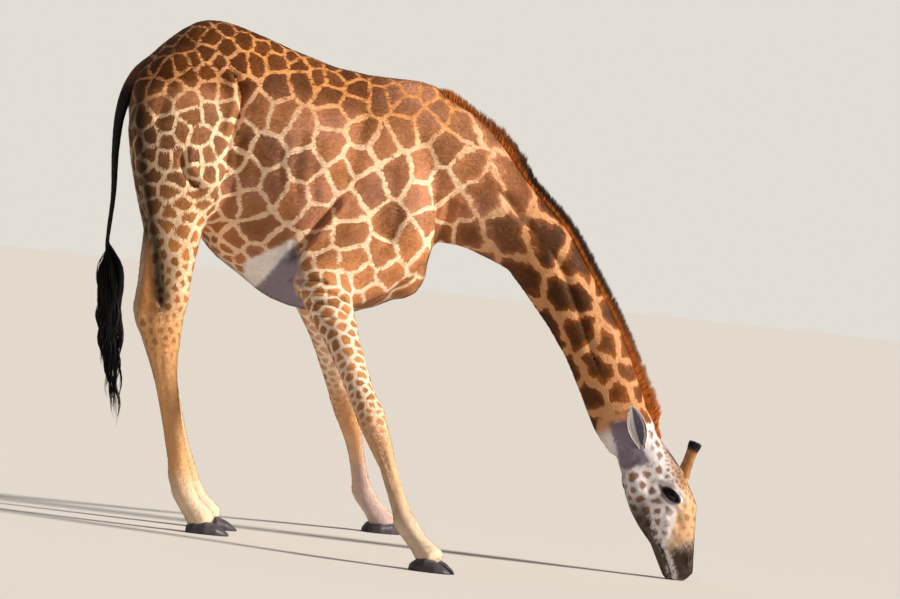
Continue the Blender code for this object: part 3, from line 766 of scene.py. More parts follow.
def part_axes() -> dict[Part, Axis]:
    """The middle line of each part, which its fur is laid out round.

    Returns:
        The axes by part.
    """
    up = Vector((0.0, 0.0, 1.0))
    forward = Vector((1.0, 0.0, 0.0))
    trunk = Axis.of(trunk_stations(), up)
    return {
        Part.REAR: trunk,
        Part.BARREL: trunk,
        Part.CHEST: trunk,
        Part.NECK: Axis.of(neck_stations(), Vector((0.75, 0.0, 0.66))),
        Part.HEAD: Axis.of(head_stations(), HEAD_FACE),
        Part.FORE_RIGHT: Axis.of(foreleg_stations(), forward),
        Part.FORE_LEFT: Axis.of(mirrored(foreleg_stations()), forward),
        Part.HIND_RIGHT: Axis.of(hindleg_stations(), forward),
        Part.HIND_LEFT: Axis.of(mirrored(hindleg_stations(), FAR_HIND_STEP), forward),
    }


# The skin --------------------------------------------------------------------------------------
@dataclass(frozen=True)
class Crease:
    """A furrow or ridge drawn on both sides of the body, seen from the side.

    Depth over 0 goes in and under 0 stands out; lip is the height of a fold beside the furrow.
    """

    path: tuple
    width: float
    depth: float
    lip: float = 0.0
    lip_shift: tuple = (0.0, 0.0)
    least_side: float = 0.05
    lip_width: float = 1.5


BODY_CREASES = (
    # the fold from the hip bone down in front of the thigh
    Crease(((-1.083, 2.179), (-1.008, 2.120), (-0.972, 2.045), (-0.966, 1.965), (-0.984, 1.885),
            (-1.008, 1.800)), 0.016, 0.026, 0.009, (-0.036, 0.0)),
    Crease(((-1.000, 2.080), (-0.972, 2.000), (-0.985, 1.880), (-1.008, 1.800), (-1.003, 1.700),
            (-1.010, 1.610), (-1.042, 1.505), (-1.087, 1.350)), 0.013, 0.013, -0.014,
           (0.036, 0.0), 0.05, 3.2),
    # the crescent over the stifle
    Crease(((-1.202, 1.779), (-1.215, 1.703), (-1.192, 1.641), (-1.150, 1.598), (-1.104, 1.578)),
           0.015, 0.027, 0.010, (0.034, 0.020)),
    # behind the triceps, up from the elbow
    Crease(((-0.455, 1.640), (-0.493, 1.572), (-0.539, 1.508), (-0.591, 1.424), (-0.650, 1.330),
            (-0.690, 1.250)), 0.016, 0.040, 0.014, (0.032, -0.014)),
    # loose skin at the root of the neck
    Crease(((-0.025, 1.700), (-0.030, 1.600), (-0.040, 1.500), (-0.055, 1.400)),
           0.027, 0.013, 0.005, (0.034, 0.0)),
    Crease(((0.048, 1.690), (0.046, 1.600), (0.036, 1.500), (0.020, 1.400)),
           0.027, 0.013, 0.005, (0.034, 0.0)),
    Crease(((0.100, 1.660), (0.102, 1.580), (0.096, 1.480), (0.085, 1.400)),
           0.022, 0.008, 0.003, (0.028, 0.0)),
    # the furrow between the neck's muscles
    Crease(((0.250, 1.732), (0.315, 1.676), (0.379, 1.608), (0.470, 1.532)), 0.022, 0.022),
    Crease(((0.505, 1.502), (0.566, 1.435), (0.623, 1.348), (0.695, 1.206), (0.781, 1.028),
            (0.870, 0.850)), 0.022, 0.016),
    Crease(((0.330, 1.430), (0.441, 1.300), (0.549, 1.160), (0.688, 0.960), (0.800, 0.770)),
           0.030, 0.008, least_side=0.02),
    # folds round the elbow
    Crease(((-0.700, 1.190), (-0.624, 1.216), (-0.541, 1.222), (-0.480, 1.205)), 0.009, 0.013, 0.006,
           (0.0, 0.016), 0.2),
    Crease(((-0.660, 1.142), (-0.564, 1.172), (-0.457, 1.165), (-0.392, 1.127)), 0.009, 0.014, 0.006,
           (0.0, 0.016), 0.2),
    Crease(((-0.622, 1.096), (-0.532, 1.122), (-0.428, 1.106), (-0.380, 1.070)), 0.009, 0.012, 0.005,
           (0.0, 0.016), 0.2),
    Crease(((-0.600, 1.045), (-0.510, 1.066), (-0.430, 1.050)), 0.008, 0.008, 0.003, (0.0, 0.014), 0.2),
    # shoulder blade, its front edge, and the point of the shoulder
    Crease(((-0.372, 2.070), (-0.405, 1.928), (-0.431, 1.760), (-0.470, 1.640)), 0.045, 0.012),
    Crease(((-0.150, 2.000), (-0.080, 1.820), (-0.060, 1.640), (-0.080, 1.500)), 0.045, 0.012),
    Crease(((-0.197, 1.626), (-0.218, 1.470), (-0.290, 1.345)), 0.030, 0.010),
    # groove between the tendon and the shank, and behind the thigh
    Crease(((-1.322, 1.430), (-1.290, 1.280), (-1.268, 1.170), (-1.250, 1.070), (-1.234, 0.985)),
           0.019, 0.020),
    Crease(((-1.380, 1.760), (-1.345, 1.600), (-1.310, 1.470)), 0.020, 0.012),
    Crease(((-1.290, 2.080), (-1.330, 1.960), (-1.350, 1.840)), 0.030, 0.010),
    # the last ribs
    Crease(((-0.740, 1.900), (-0.765, 1.740), (-0.735, 1.580)), 0.020, 0.004, 0.003, (0.04, 0.0)),
    Crease(((-0.660, 1.900), (-0.690, 1.720), (-0.660, 1.540)), 0.020, 0.004, 0.003, (0.04, 0.0)),
    Crease(((-0.580, 1.890), (-0.605, 1.700), (-0.575, 1.540)), 0.020, 0.004, 0.003, (0.04, 0.0)),
)


@dataclass(frozen=True)
class HeadLine:
    """A furrow or ridge on both sides of the head: points of along, face and side."""

    path: tuple
    width: float
    depth: float


HEAD_LINES = (
    # mouth slit, with the lips' swelling above and below it
    HeadLine(((0.668, -0.030, 0.010), (0.655, -0.031, 0.045), (0.600, -0.032, 0.062), (0.545, -0.038, 0.060),
              (0.490, -0.046, 0.058), (0.462, -0.054, 0.058)), 0.0042, 0.0085),
    HeadLine(((0.655, -0.014, 0.050), (0.600, -0.016, 0.062), (0.530, -0.024, 0.060)), 0.011, -0.0050),
    HeadLine(((0.640, -0.046, 0.045), (0.580, -0.048, 0.056), (0.510, -0.056, 0.054)), 0.010, -0.0035),
    HeadLine(((0.462, -0.054, 0.058), (0.448, -0.066, 0.056)), 0.008, 0.004),
    # edge of the jaw and of the cheek muscle
    HeadLine(((0.250, -0.080, 0.080), (0.300, -0.060, 0.082), (0.330, -0.020, 0.080)), 0.014, 0.0060),
    HeadLine(((0.340, 0.020, 0.080), (0.400, 0.010, 0.066), (0.450, -0.010, 0.060)), 0.016, -0.0050),
    HeadLine(((0.300, -0.100, 0.060), (0.380, -0.082, 0.058), (0.450, -0.070, 0.052)), 0.012, 0.0040),
    # hollow in front of the eye, and the tear line
    HeadLine(((0.320, 0.070, 0.082), (0.370, 0.072, 0.072), (0.430, 0.058, 0.060)), 0.020, 0.0060),
    HeadLine(((0.296, 0.056, 0.104), (0.316, 0.046, 0.096)), 0.0045, 0.0040),
    # hollow behind the eye and over the cheek, fold of the throat
    HeadLine(((0.150, 0.050, 0.095), (0.185, 0.066, 0.098)), 0.020, 0.0060),
    HeadLine(((0.090, -0.100, 0.070), (0.060, -0.060, 0.086), (0.045, -0.030, 0.090)), 0.013, 0.0060),
    # edges of the flat nose bridge
    HeadLine(((0.400, 0.158, 0.034), (0.470, 0.136, 0.034), (0.540, 0.110, 0.036)), 0.010, -0.0030),
)


@dataclass
class Skin:
    """The one skin that stands for all the flesh."""

    cell: float = 0.0062
    cell_of_solids: float = 0.0085
    softening: int = 8
    blending: int = 70
    most_triangles: int = 196_000
    reach: float = 0.030
    least_share: float = 0.45
    most_push: float = 0.011
    most_step: float = 0.0012
    lowest: float = 0.0015
    creases: tuple = BODY_CREASES
    head_lines: tuple = HEAD_LINES
    folds: Array | None = None

    def build(self, shift: Vector, solids: BVHTree) -> bpy.types.Object:
        """Makes the skin.

        Args:
            shift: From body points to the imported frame.
            solids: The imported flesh.

        Returns:
            The finished skin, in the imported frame.
        """
        bm = bmesh.new()
        self.add_forms(bm)
        mesh = bpy.data.meshes.new("skin")
        bm.to_mesh(mesh)
        bm.free()
        obj = new_object("skin", mesh)
        self.fuse(obj)
        log.info("skin fused: %d points", len(obj.data.vertices))
        self.refine_head(obj)
        self.tuck_in(obj, shift, solids)
        self.sculpt(obj)
        self.thin_out(obj)
        obj.data.transform(Matrix.Translation(shift))
        obj.data.shade_smooth()
        log.info("skin finished: %d triangles", len(obj.data.polygons))
        return obj

    def add_forms(self, bm: bmesh.types.BMesh) -> None:
        """Adds every lofted form and ball of the body.

        Args:
            bm: The mesh that takes it.
        """
        forward = Vector((1.0, 0.0, 0.0))
        up = Vector((0.0, 0.0, 1.0))
        add_loft(bm, trunk_stations(), up, sides=44, dome=0.2, facing=forward)
        add_loft(bm, neck_stations(), Vector((0.75, 0.0, 0.66)), sides=36)
        self.add_head(bm)
        add_ball(bm, (-0.140, 0.0, 1.310), (0.125, 0.170, 0.150))
        for side in Side:
            self.add_shoulder(bm, side.value)
            self.add_rump(bm, side.value)
            self.add_hock(bm, side.value, 0.0 if side is Side.RIGHT else FAR_HIND_STEP)
        add_loft(bm, foreleg_stations(), forward)
        add_loft(bm, mirrored(foreleg_stations()), forward)
        add_loft(bm, hindleg_stations(), forward)
        add_loft(bm, mirrored(hindleg_stations(), FAR_HIND_STEP), forward)

    def add_head(self, bm: bmesh.types.BMesh) -> None:
        """Adds skull, lips, cheeks, brows and nostril swellings.

        Args:
            bm: The mesh that takes it.
        """
        turn = head_turn()
        add_loft(bm, head_stations(), HEAD_FACE, dome=0.75)
        add_ball(bm, in_head(0.628, 0.004, 0.0), (0.058, 0.056, 0.036), turn)
        add_ball(bm, in_head(0.606, -0.036, 0.0), (0.048, 0.046, 0.032), turn)
        for side in (-1.0, 1.0):
            add_ball(bm, in_head(0.165, -0.055, 0.062 * side), (0.105, 0.042, 0.078), turn)
            add_ball(bm, in_head(0.252, 0.082, 0.078 * side), (0.066, 0.044, 0.050), turn)
            add_ball(bm, in_head(0.572, 0.058, 0.038 * side), (0.040, 0.026, 0.030), turn)
            add_ball(bm, in_head(0.190, 0.118, 0.052 * side), (0.060, 0.042, 0.046), turn)
        add_ball(bm, in_head(0.330, 0.132, 0.0), (0.090, 0.044, 0.046), turn)

    def add_shoulder(self, bm: bmesh.types.BMesh, side: float) -> None:
        """Adds shoulder blade, upper arm and triceps of one side.

        Args:
            bm: The mesh that takes it.
            side: -1 for the right side, 1 for the left.
        """
        forward = Vector((1.0, 0.0, 0.0))
        blade = [
            Station((-0.288, 0.080 * side, 2.040), 0.095, 0.045),
            Station((-0.245, 0.126 * side, 1.879), 0.140, 0.072),
            Station((-0.190, 0.166 * side, 1.660), 0.165, 0.085),
            Station((-0.155, 0.196 * side, 1.481), 0.150, 0.090),
            Station((-0.148, 0.215 * side, 1.351), 0.115, 0.088),
        ]
        add_loft(bm, blade, forward)
        arm = [
            Station((-0.145, 0.210 * side, 1.371), 0.110, 0.088),
            Station((-0.294, 0.250 * side, 1.307), 0.150, 0.100),
            Station((-0.432, 0.292 * side, 1.248), 0.155, 0.100),
            Station((-0.551, 0.325 * side, 1.210), 0.115, 0.088),
            Station((-0.621, 0.338 * side, 1.188), 0.070, 0.062),
        ]
        add_loft(bm, arm, Vector((0.0, 0.0, 1.0)))
        triceps = [
            Station((-0.335, 0.180 * side, 1.736), 0.120, 0.068),
            Station((-0.410, 0.222 * side, 1.544), 0.155, 0.082),
            Station((-0.485, 0.268 * side, 1.362), 0.145, 0.084),
            Station((-0.562, 0.312 * side, 1.230), 0.100, 0.072),
        ]
        add_loft(bm, triceps, forward)

    def add_rump(self, bm: bmesh.types.BMesh, side: float) -> None:
        """Adds croup, hip bone, pin bone and stifle of one side.

        Args:
            bm: The mesh that takes it.
            side: -1 for the right side, 1 for the left.
        """
        add_ball(bm, (-1.190, 0.115 * side, 2.020), (0.240, 0.108, 0.225))
        add_ball(bm, (-1.020, 0.160 * side, 2.060), (0.080, 0.052, 0.085))
        add_ball(bm, (-1.396, 0.095 * side, 1.950), (0.088, 0.082, 0.175))
        add_ball(bm, (-1.090, 0.232 * side, 1.610), (0.090, 0.080, 0.140))

    def add_hock(self, bm: bmesh.types.BMesh, side: float, step: float) -> None:
        """Adds heel bone, tendon and the skin between tendon and shank of one side.

        Args:
            bm: The mesh that takes it.
            side: -1 for the right side, 1 for the left.
            step: How far the leg stands in front of its pair.
        """
        ahead = step * 0.05
        tendon = [
            Station((-1.296, 0.220 * side, 1.321), 0.050, 0.042),
            Station((-1.315, 0.222 * side, 1.190), 0.030, 0.024),
            Station((-1.324 + ahead, 0.224 * side, 1.070), 0.027, 0.022),
            Station((-1.319 + ahead, 0.225 * side, 0.975), 0.036, 0.029),
            Station((-1.275 + ahead, 0.226 * side, 0.891), 0.040, 0.036),
        ]
        add_loft(bm, tendon, Vector((1.0, 0.0, 0.0)), sides=16)
        web = [
            Station((-1.250, 0.221 * side, 1.340), 0.100, 0.030),
            Station((-1.262, 0.223 * side, 1.160), 0.070, 0.022),
            Station((-1.268, 0.224 * side, 0.980), 0.070, 0.028),
        ]
        add_loft(bm, web, Vector((1.0, 0.0, 0.0)), sides=16)

    def fuse(self, obj: bpy.types.Object) -> None:
        """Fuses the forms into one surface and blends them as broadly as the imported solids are.

        Args:
            obj: The skin's object.
        """
        fuse = obj.modifiers.new("fuse", "REMESH")
        fuse.mode = "VOXEL"
        fuse.voxel_size = self.cell
        baked(obj)
        group = obj.vertex_groups.new(name="broad")
        points = points_of(obj.data)
        low = np.clip((points[:, 2] - 1.15) / 0.30, 0.0, 1.0)
        near_head = np.clip((1.05 - points[:, 0]) / 0.30, 0.0, 1.0)
        broad = np.maximum(low, np.where(points[:, 2] > 0.9, 0.25, 0.0)) * near_head
        levels = np.round(broad * WEIGHT_LEVELS).astype(int)
        for level in range(1, WEIGHT_LEVELS + 1):
            chosen = np.flatnonzero(levels == level)
            group.add(chosen.tolist(), level / WEIGHT_LEVELS, "REPLACE")
        more = (self.cell_of_solids / self.cell) ** 2
        for name, weights, iterations in (("soften", "", self.softening), ("blend", "broad", self.blending)):
            step = obj.modifiers.new(name, "SMOOTH")
            step.factor = 0.5
            step.iterations = int(iterations * more)
            step.vertex_group = weights
        baked(obj)
        obj.vertex_groups.clear()

    def refine_head(self, obj: bpy.types.Object) -> None:
        """Divides the faces of the face, where the finest forms are.

        Args:
            obj: The skin's object.
        """
        bm = bmesh.new()
        bm.from_mesh(obj.data)
        places = Anatomy(points_of(obj.data))
        near_eye = np.abs(places.along - 0.27) < 0.075
        near_mouth = places.along > 0.44
        fine = (places.x > 0.95) & (places.along > 0.05) & (near_eye | near_mouth)
        bm.verts.ensure_lookup_table()
        edges = [e for e in bm.edges if fine[e.verts[0].index] and fine[e.verts[1].index]]
        bmesh.ops.subdivide_edges(bm, edges=edges, cuts=1, use_grid_fill=True)
        bmesh.ops.triangulate(bm, faces=bm.faces)
        bm.to_mesh(obj.data)
        bm.free()

    def tuck_in(self, obj: bpy.types.Object, shift: Vector, solids: BVHTree) -> None:
        """Moves the skin a coat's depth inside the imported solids.

        Args:
            obj: The skin, in body points.
            shift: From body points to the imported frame.
            solids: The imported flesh.
        """
        mesh = obj.data
        points = points_of(mesh)
        normals = normals_of(mesh)
        push = np.zeros(len(points))
        starts = points + np.array(shift) + normals * self.reach
        for index, (start, normal) in enumerate(zip(starts, normals)):
            distance = solids.ray_cast(Vector(start), Vector(-normal), 2 * self.reach)[3]
            if distance is not None:
                push[index] = distance - self.reach
        depth = COAT_DEPTH * (1.0 - 0.35 * Anatomy(points).head)
        push = np.clip(push + depth, self.least_share * depth, self.most_push)
        for _ in range(3):
            around = self.spread(mesh, push, 6)
            push = np.minimum(push, around + self.most_step)
        push = self.spread(mesh, push, 10)
        points -= normals * push[:, None]
        points[:, 2] = np.maximum(points[:, 2], self.lowest)
        move_points(mesh, points)

    def spread(self, mesh: bpy.types.Mesh, values: Array, rounds: int) -> Array:
        """Averages values with their neighbours' a number of times.

        Args:
            mesh: The skin's mesh.
            values: One for each point.
            rounds: The number of times.

        Returns:
            The averaged values.
        """
        edges = np.empty(len(mesh.edges) * 2, np.int32)
        mesh.edges.foreach_get("vertices", edges)
        one, other = edges.reshape(-1, 2).T
        count = np.bincount(one, minlength=len(values)) + np.bincount(other, minlength=len(values))
        for _ in range(rounds):
            total = np.bincount(one, values[other], len(values))
            total = total + np.bincount(other, values[one], len(values))
            values = 0.5 * values + 0.5 * total / np.maximum(count, 1)
        return values

    def sculpt(self, obj: bpy.types.Object) -> None:
        """Draws the folds of the body, and the lips, nostrils, brows and lids of the head.

        Args:
            obj: The skin's object.
        """
        mesh = obj.data
        points = points_of(mesh)
        normals = normals_of(mesh)
        move = np.zeros(len(points))
        sideways = np.abs(normals[:, 1])
        for crease in self.creases:
            move += self.crease_depth(points, sideways, crease)
        for line in self.head_lines:
            for side in (-1.0, 1.0):
                path = [in_head(a, f, s * side) for a, f, s in line.path]
                near = self.line_distance(points, path, 0.010)
                move -= line.depth * np.exp(-((near / line.width) ** 2))
        self.folds = np.abs(move)
        move += self.leg_forms(points)
        move += 0.0014 * noise_at(points, 0.060) * smooth(0.25, 0.60, points[:, 2])
        points = points + normals * move[:, None]
        points = self.wrinkle(points, normals)
        for side in Side:
            points = self.open_nostril(points, normals, side.value)
        points = self.set_lids(points)
        points[:, 2] = np.maximum(points[:, 2], self.lowest)
        move_points(mesh, points)

    def crease_depth(self, points: Array, sideways: Array, crease: Crease) -> Array:
        """How far a crease moves each point, along its normal.

        Args:
            points: Body points.
            sideways: How far the normals point to a side, from 0 to 1.
            crease: The crease.

        Returns:
            The moves, out over 0.
        """
        path = [Vector((x, 0.0, z)) for x, z in crease.path]
        flat = points * np.array([1.0, 0.0, 1.0])
        near = self.line_distance(flat, path, 2.0 * crease.width)
        weight = smooth(crease.least_side, crease.least_side + 0.25, sideways)
        move = -crease.depth * np.exp(-((near / crease.width) ** 2))
        if crease.lip:
            dx, dz = crease.lip_shift
            beside = [p + Vector((dx, 0.0, dz)) for p in path]
            near = self.line_distance(flat, beside, 2.0 * crease.width)
            move += crease.lip * np.exp(-((near / (crease.lip_width * crease.width)) ** 2))
        return move * weight

    def line_distance(self, points: Array, path: list[Vector], fade: float) -> Array:
        """Each point's distance to a smooth line, more by the fade at its ends; far points get 1.

        Args:
            points: Body points.
            path: The line's points.
            fade: What the ends add.

        Returns:
            The distances.
        """
        stations = refine([Station(tuple(p), 0.0, 0.0) for p in path], 10)
        line = np.array([tuple(s.at) for s in stations])
        near = np.full(len(points), 1.0)
        margin = 0.12
        inside = np.all((points > line.min(0) - margin) & (points < line.max(0) + margin), axis=1)
        chosen = np.flatnonzero(inside)
        offsets = points[chosen, None, :] - line[None, :, :]
        distances = np.linalg.norm(offsets, axis=2)
        nearest = distances.argmin(1)
        share = nearest / (len(line) - 1)
        ends = np.minimum(share, 1 - share)
        near[chosen] = distances.min(1) + fade * (1.0 - smooth(0.0, 0.24, ends))
        return near

    def leg_forms(self, points: Array) -> Array:
        """Bones and tendons of the lower legs.

        Args:
            points: Body points.

        Returns:
            How far each point moves out.
        """
        x, y, z = points.T
        move = np.zeros(len(points))
        for part, axis in part_axes().items():
            if part.value < Part.FORE_RIGHT.value:
                continue
            fore = part in (Part.FORE_RIGHT, Part.FORE_LEFT)
            outside = -1.0 if part in (Part.FORE_RIGHT, Part.HIND_RIGHT) else 1.0
            zone = (y * outside > (0.25 if fore else 0.08)) & (z < 1.1) & ((x > -0.8) == fore)
            chosen = np.flatnonzero(zone)
            share, turn, _ = axis.chart(points[chosen])
            cannon = bell(share, 0.68 if fore else 0.72, 0.10 if fore else 0.13)
            for angle in (0.30, 0.70):
                gap = np.abs((turn - angle + 0.5) % 1.0 - 0.5)
                move[chosen] -= 0.0060 * cannon * bell(gap, 0.0, 0.055)
            knee = bell(share, 0.48 if fore else 0.455, 0.035)
            front = np.abs((turn + 0.5) % 1.0 - 0.5)
            move[chosen] += 0.008 * knee * bell(front, 0.0, 0.15)
            fetlock = bell(share, 0.86 if fore else 0.88, 0.022)
            rear = np.abs(turn % 1.0 - 0.5)
            move[chosen] += 0.009 * fetlock * bell(rear, 0.0, 0.16)
        return move

    def wrinkle(self, points: Array, normals: Array) -> Array:
        """Fine wrinkles at the knees, the elbows' inside and the throat.

        Args:
            points: Body points.
            normals: The skin's normals there.

        Returns:
            The moved points.
        """
        places = Anatomy(points)
        wave = np.sin(points[:, 2] * 2 * math.pi / 0.016 + 3.0 * noise_at(points, 0.08, 5.0))
        knees = bell(points[:, 2], 0.60, 0.06) * places.fore
        throat = bell(places.along, 0.00, 0.05) * (places.face < -0.06) * (points[:, 0] > 0.9)
        amount = 0.0011 * knees + 0.0012 * throat
        return points + normals * (wave * amount)[:, None]

    def open_nostril(self, points: Array, normals: Array, side: float) -> Array:
        """Sinks a slit nostril with a raised wing.

        Args:
            points: Body points.
            normals: The skin's normals there.
            side: -1 for the right side, 1 for the left.

        Returns:
            The moved points.
        """
        centre = np.array(in_head(0.578, 0.074, 0.044 * side))
        offset = points - centre
        along = offset @ np.array(HEAD_DOWN)
        face = offset @ np.array(HEAD_FACE)
        spread = offset[:, 1]
        lean = along * 0.42
        slit = np.sqrt((along / 0.021) ** 2 + ((face + lean) / 0.0075) ** 2 + (spread / 0.030) ** 2)
        sink = -0.013 * np.exp(-(slit**2)) + 0.0045 * bell(slit, 1.55, 0.42)
        return points + normals * sink[:, None]

    def set_lids(self, points: Array) -> Array:
        """Wraps the skin over the eyeballs and opens the lids in an almond.

        Args:
            points: Body points of the skin.

        Returns:
            The moved points.
        """
        length, height, out, almond = across_lids(points)
        flat = np.hypot(length, height)
        on_face = (out > -0.010) & (flat < 0.100) & (points[:, 0] > 0.95)
        shell = EYE_RADIUS + 0.0030
        bend = 0.80 * shell
        ball = np.sqrt(np.maximum(shell**2 - np.minimum(flat, bend) ** 2, 0.0))
        ball = ball - 0.85 * np.maximum(flat - bend, 0.0)
        ball = ball + 0.0026 * bell(almond, 1.22, 0.22) - 0.0026 * bell(almond, 1.85, 0.20)
        hold = smooth(2.7, 1.30, almond)
        place = out + (ball - out) * hold
        place = np.where(almond < 1.0, ball - 0.0100, place)
        brow = 0.0070 * np.exp(-(((height - 0.032) / 0.011) ** 2 + ((length + 0.002) / 0.036) ** 2))
        pouch = 0.0026 * np.exp(-(((height + 0.034) / 0.007) ** 2 + ((length + 0.010) / 0.022) ** 2))
        moved = points.copy()
        moved[:, 1] += np.sign(points[:, 1]) * (place + brow + pouch - out) * on_face
        return moved

    def thin_out(self, obj: bpy.types.Object) -> None:
        """Thins the skin to its most triangles, keeping them where lines and forms are finest.

        Args:
            obj: The skin's object.
        """
        places = Anatomy(points_of(obj.data))
        keep = 0.28 + 0.55 * smooth(0.0008, 0.0040, self.folds)
        keep = np.maximum(keep, 0.95 * places.head * (places.x > 0.9))
        keep = np.maximum(keep, 0.46 * np.maximum(places.hind, places.fore))
        group = obj.vertex_groups.new(name="keep")
        levels = np.round(keep * WEIGHT_LEVELS).astype(int)
        for level in np.unique(levels):
            chosen = np.flatnonzero(levels == level)
            group.add(chosen.tolist(), float(1.0 - level / WEIGHT_LEVELS), "REPLACE")
        thin = obj.modifiers.new("thin", "DECIMATE")
        thin.ratio = self.most_triangles / len(obj.data.polygons)
        thin.vertex_group = "keep"
        thin.vertex_group_factor = 0.05
        baked(obj)
        obj.vertex_groups.clear()


# The markings ----------------------------------------------------------------------------------
@dataclass(frozen=True)
class Palette:
    """The coat's colours, as linear light."""

    cream: tuple = linear(250, 210, 172)
    back_line: tuple = linear(220, 148, 86)
    rump_line: tuple = linear(206, 144, 94)
    thigh_line: tuple = linear(244, 208, 168)
    neck_line: tuple = linear(208, 150, 102)
    belly: tuple = linear(252, 244, 238)
    leg_tan: tuple = linear(224, 166, 112)
    leg_cream: tuple = linear(232, 204, 174)
    tendon_tan: tuple = linear(206, 142, 88)
    leg_inside: tuple = linear(214, 196, 182)
    fore_line: tuple = linear(254, 224, 196)
    # painted shade: grey-mauve for the forelegs' inner faces low down
    fore_inside: tuple = linear(172, 150, 148)
    head_white: tuple = linear(234, 226, 226)
    brow_tan: tuple = linear(188, 144, 116)
    stem_tan: tuple = linear(178, 124, 76)
    nose_tan: tuple = linear(222, 180, 138)
    muzzle: tuple = linear(50, 26, 7)
    # painted shade: the grey-lilac of the armpit and under the ear
    bare_grey: tuple = linear(130, 116, 134)
    trunk_patch: tuple = linear(175, 115, 75)
    rosy_patch: tuple = linear(176, 120, 94)
    olive_patch: tuple = linear(152, 96, 52)
    rump_patch: tuple = linear(98, 51, 12)
    thigh_patch: tuple = linear(136, 88, 56)
    leg_patch: tuple = linear(184, 120, 68)
    fore_patch: tuple = linear(196, 132, 84)
    shoulder_patch: tuple = linear(178, 116, 72)
    neck_patch: tuple = linear(86, 50, 21)
    neck_rim: tuple = linear(138, 74, 26)
    head_patch: tuple = linear(138, 101, 74)
    nose_patch: tuple = linear(160, 110, 64)
    eye_ring: tuple = linear(140, 126, 136)
    eye_rim: tuple = linear(24, 19, 19)


@dataclass
class Layers:
    """A colour at each point, made of colours laid one over the other."""

    colours: Array

    def lay(self, colour: tuple, amount: Array) -> None:
        """Lays a colour over the others, by an amount from 0 to 1."""
        self.colours = blend(self.colours, np.array(colour), np.clip(amount, 0.0, 1.0)[:, None])


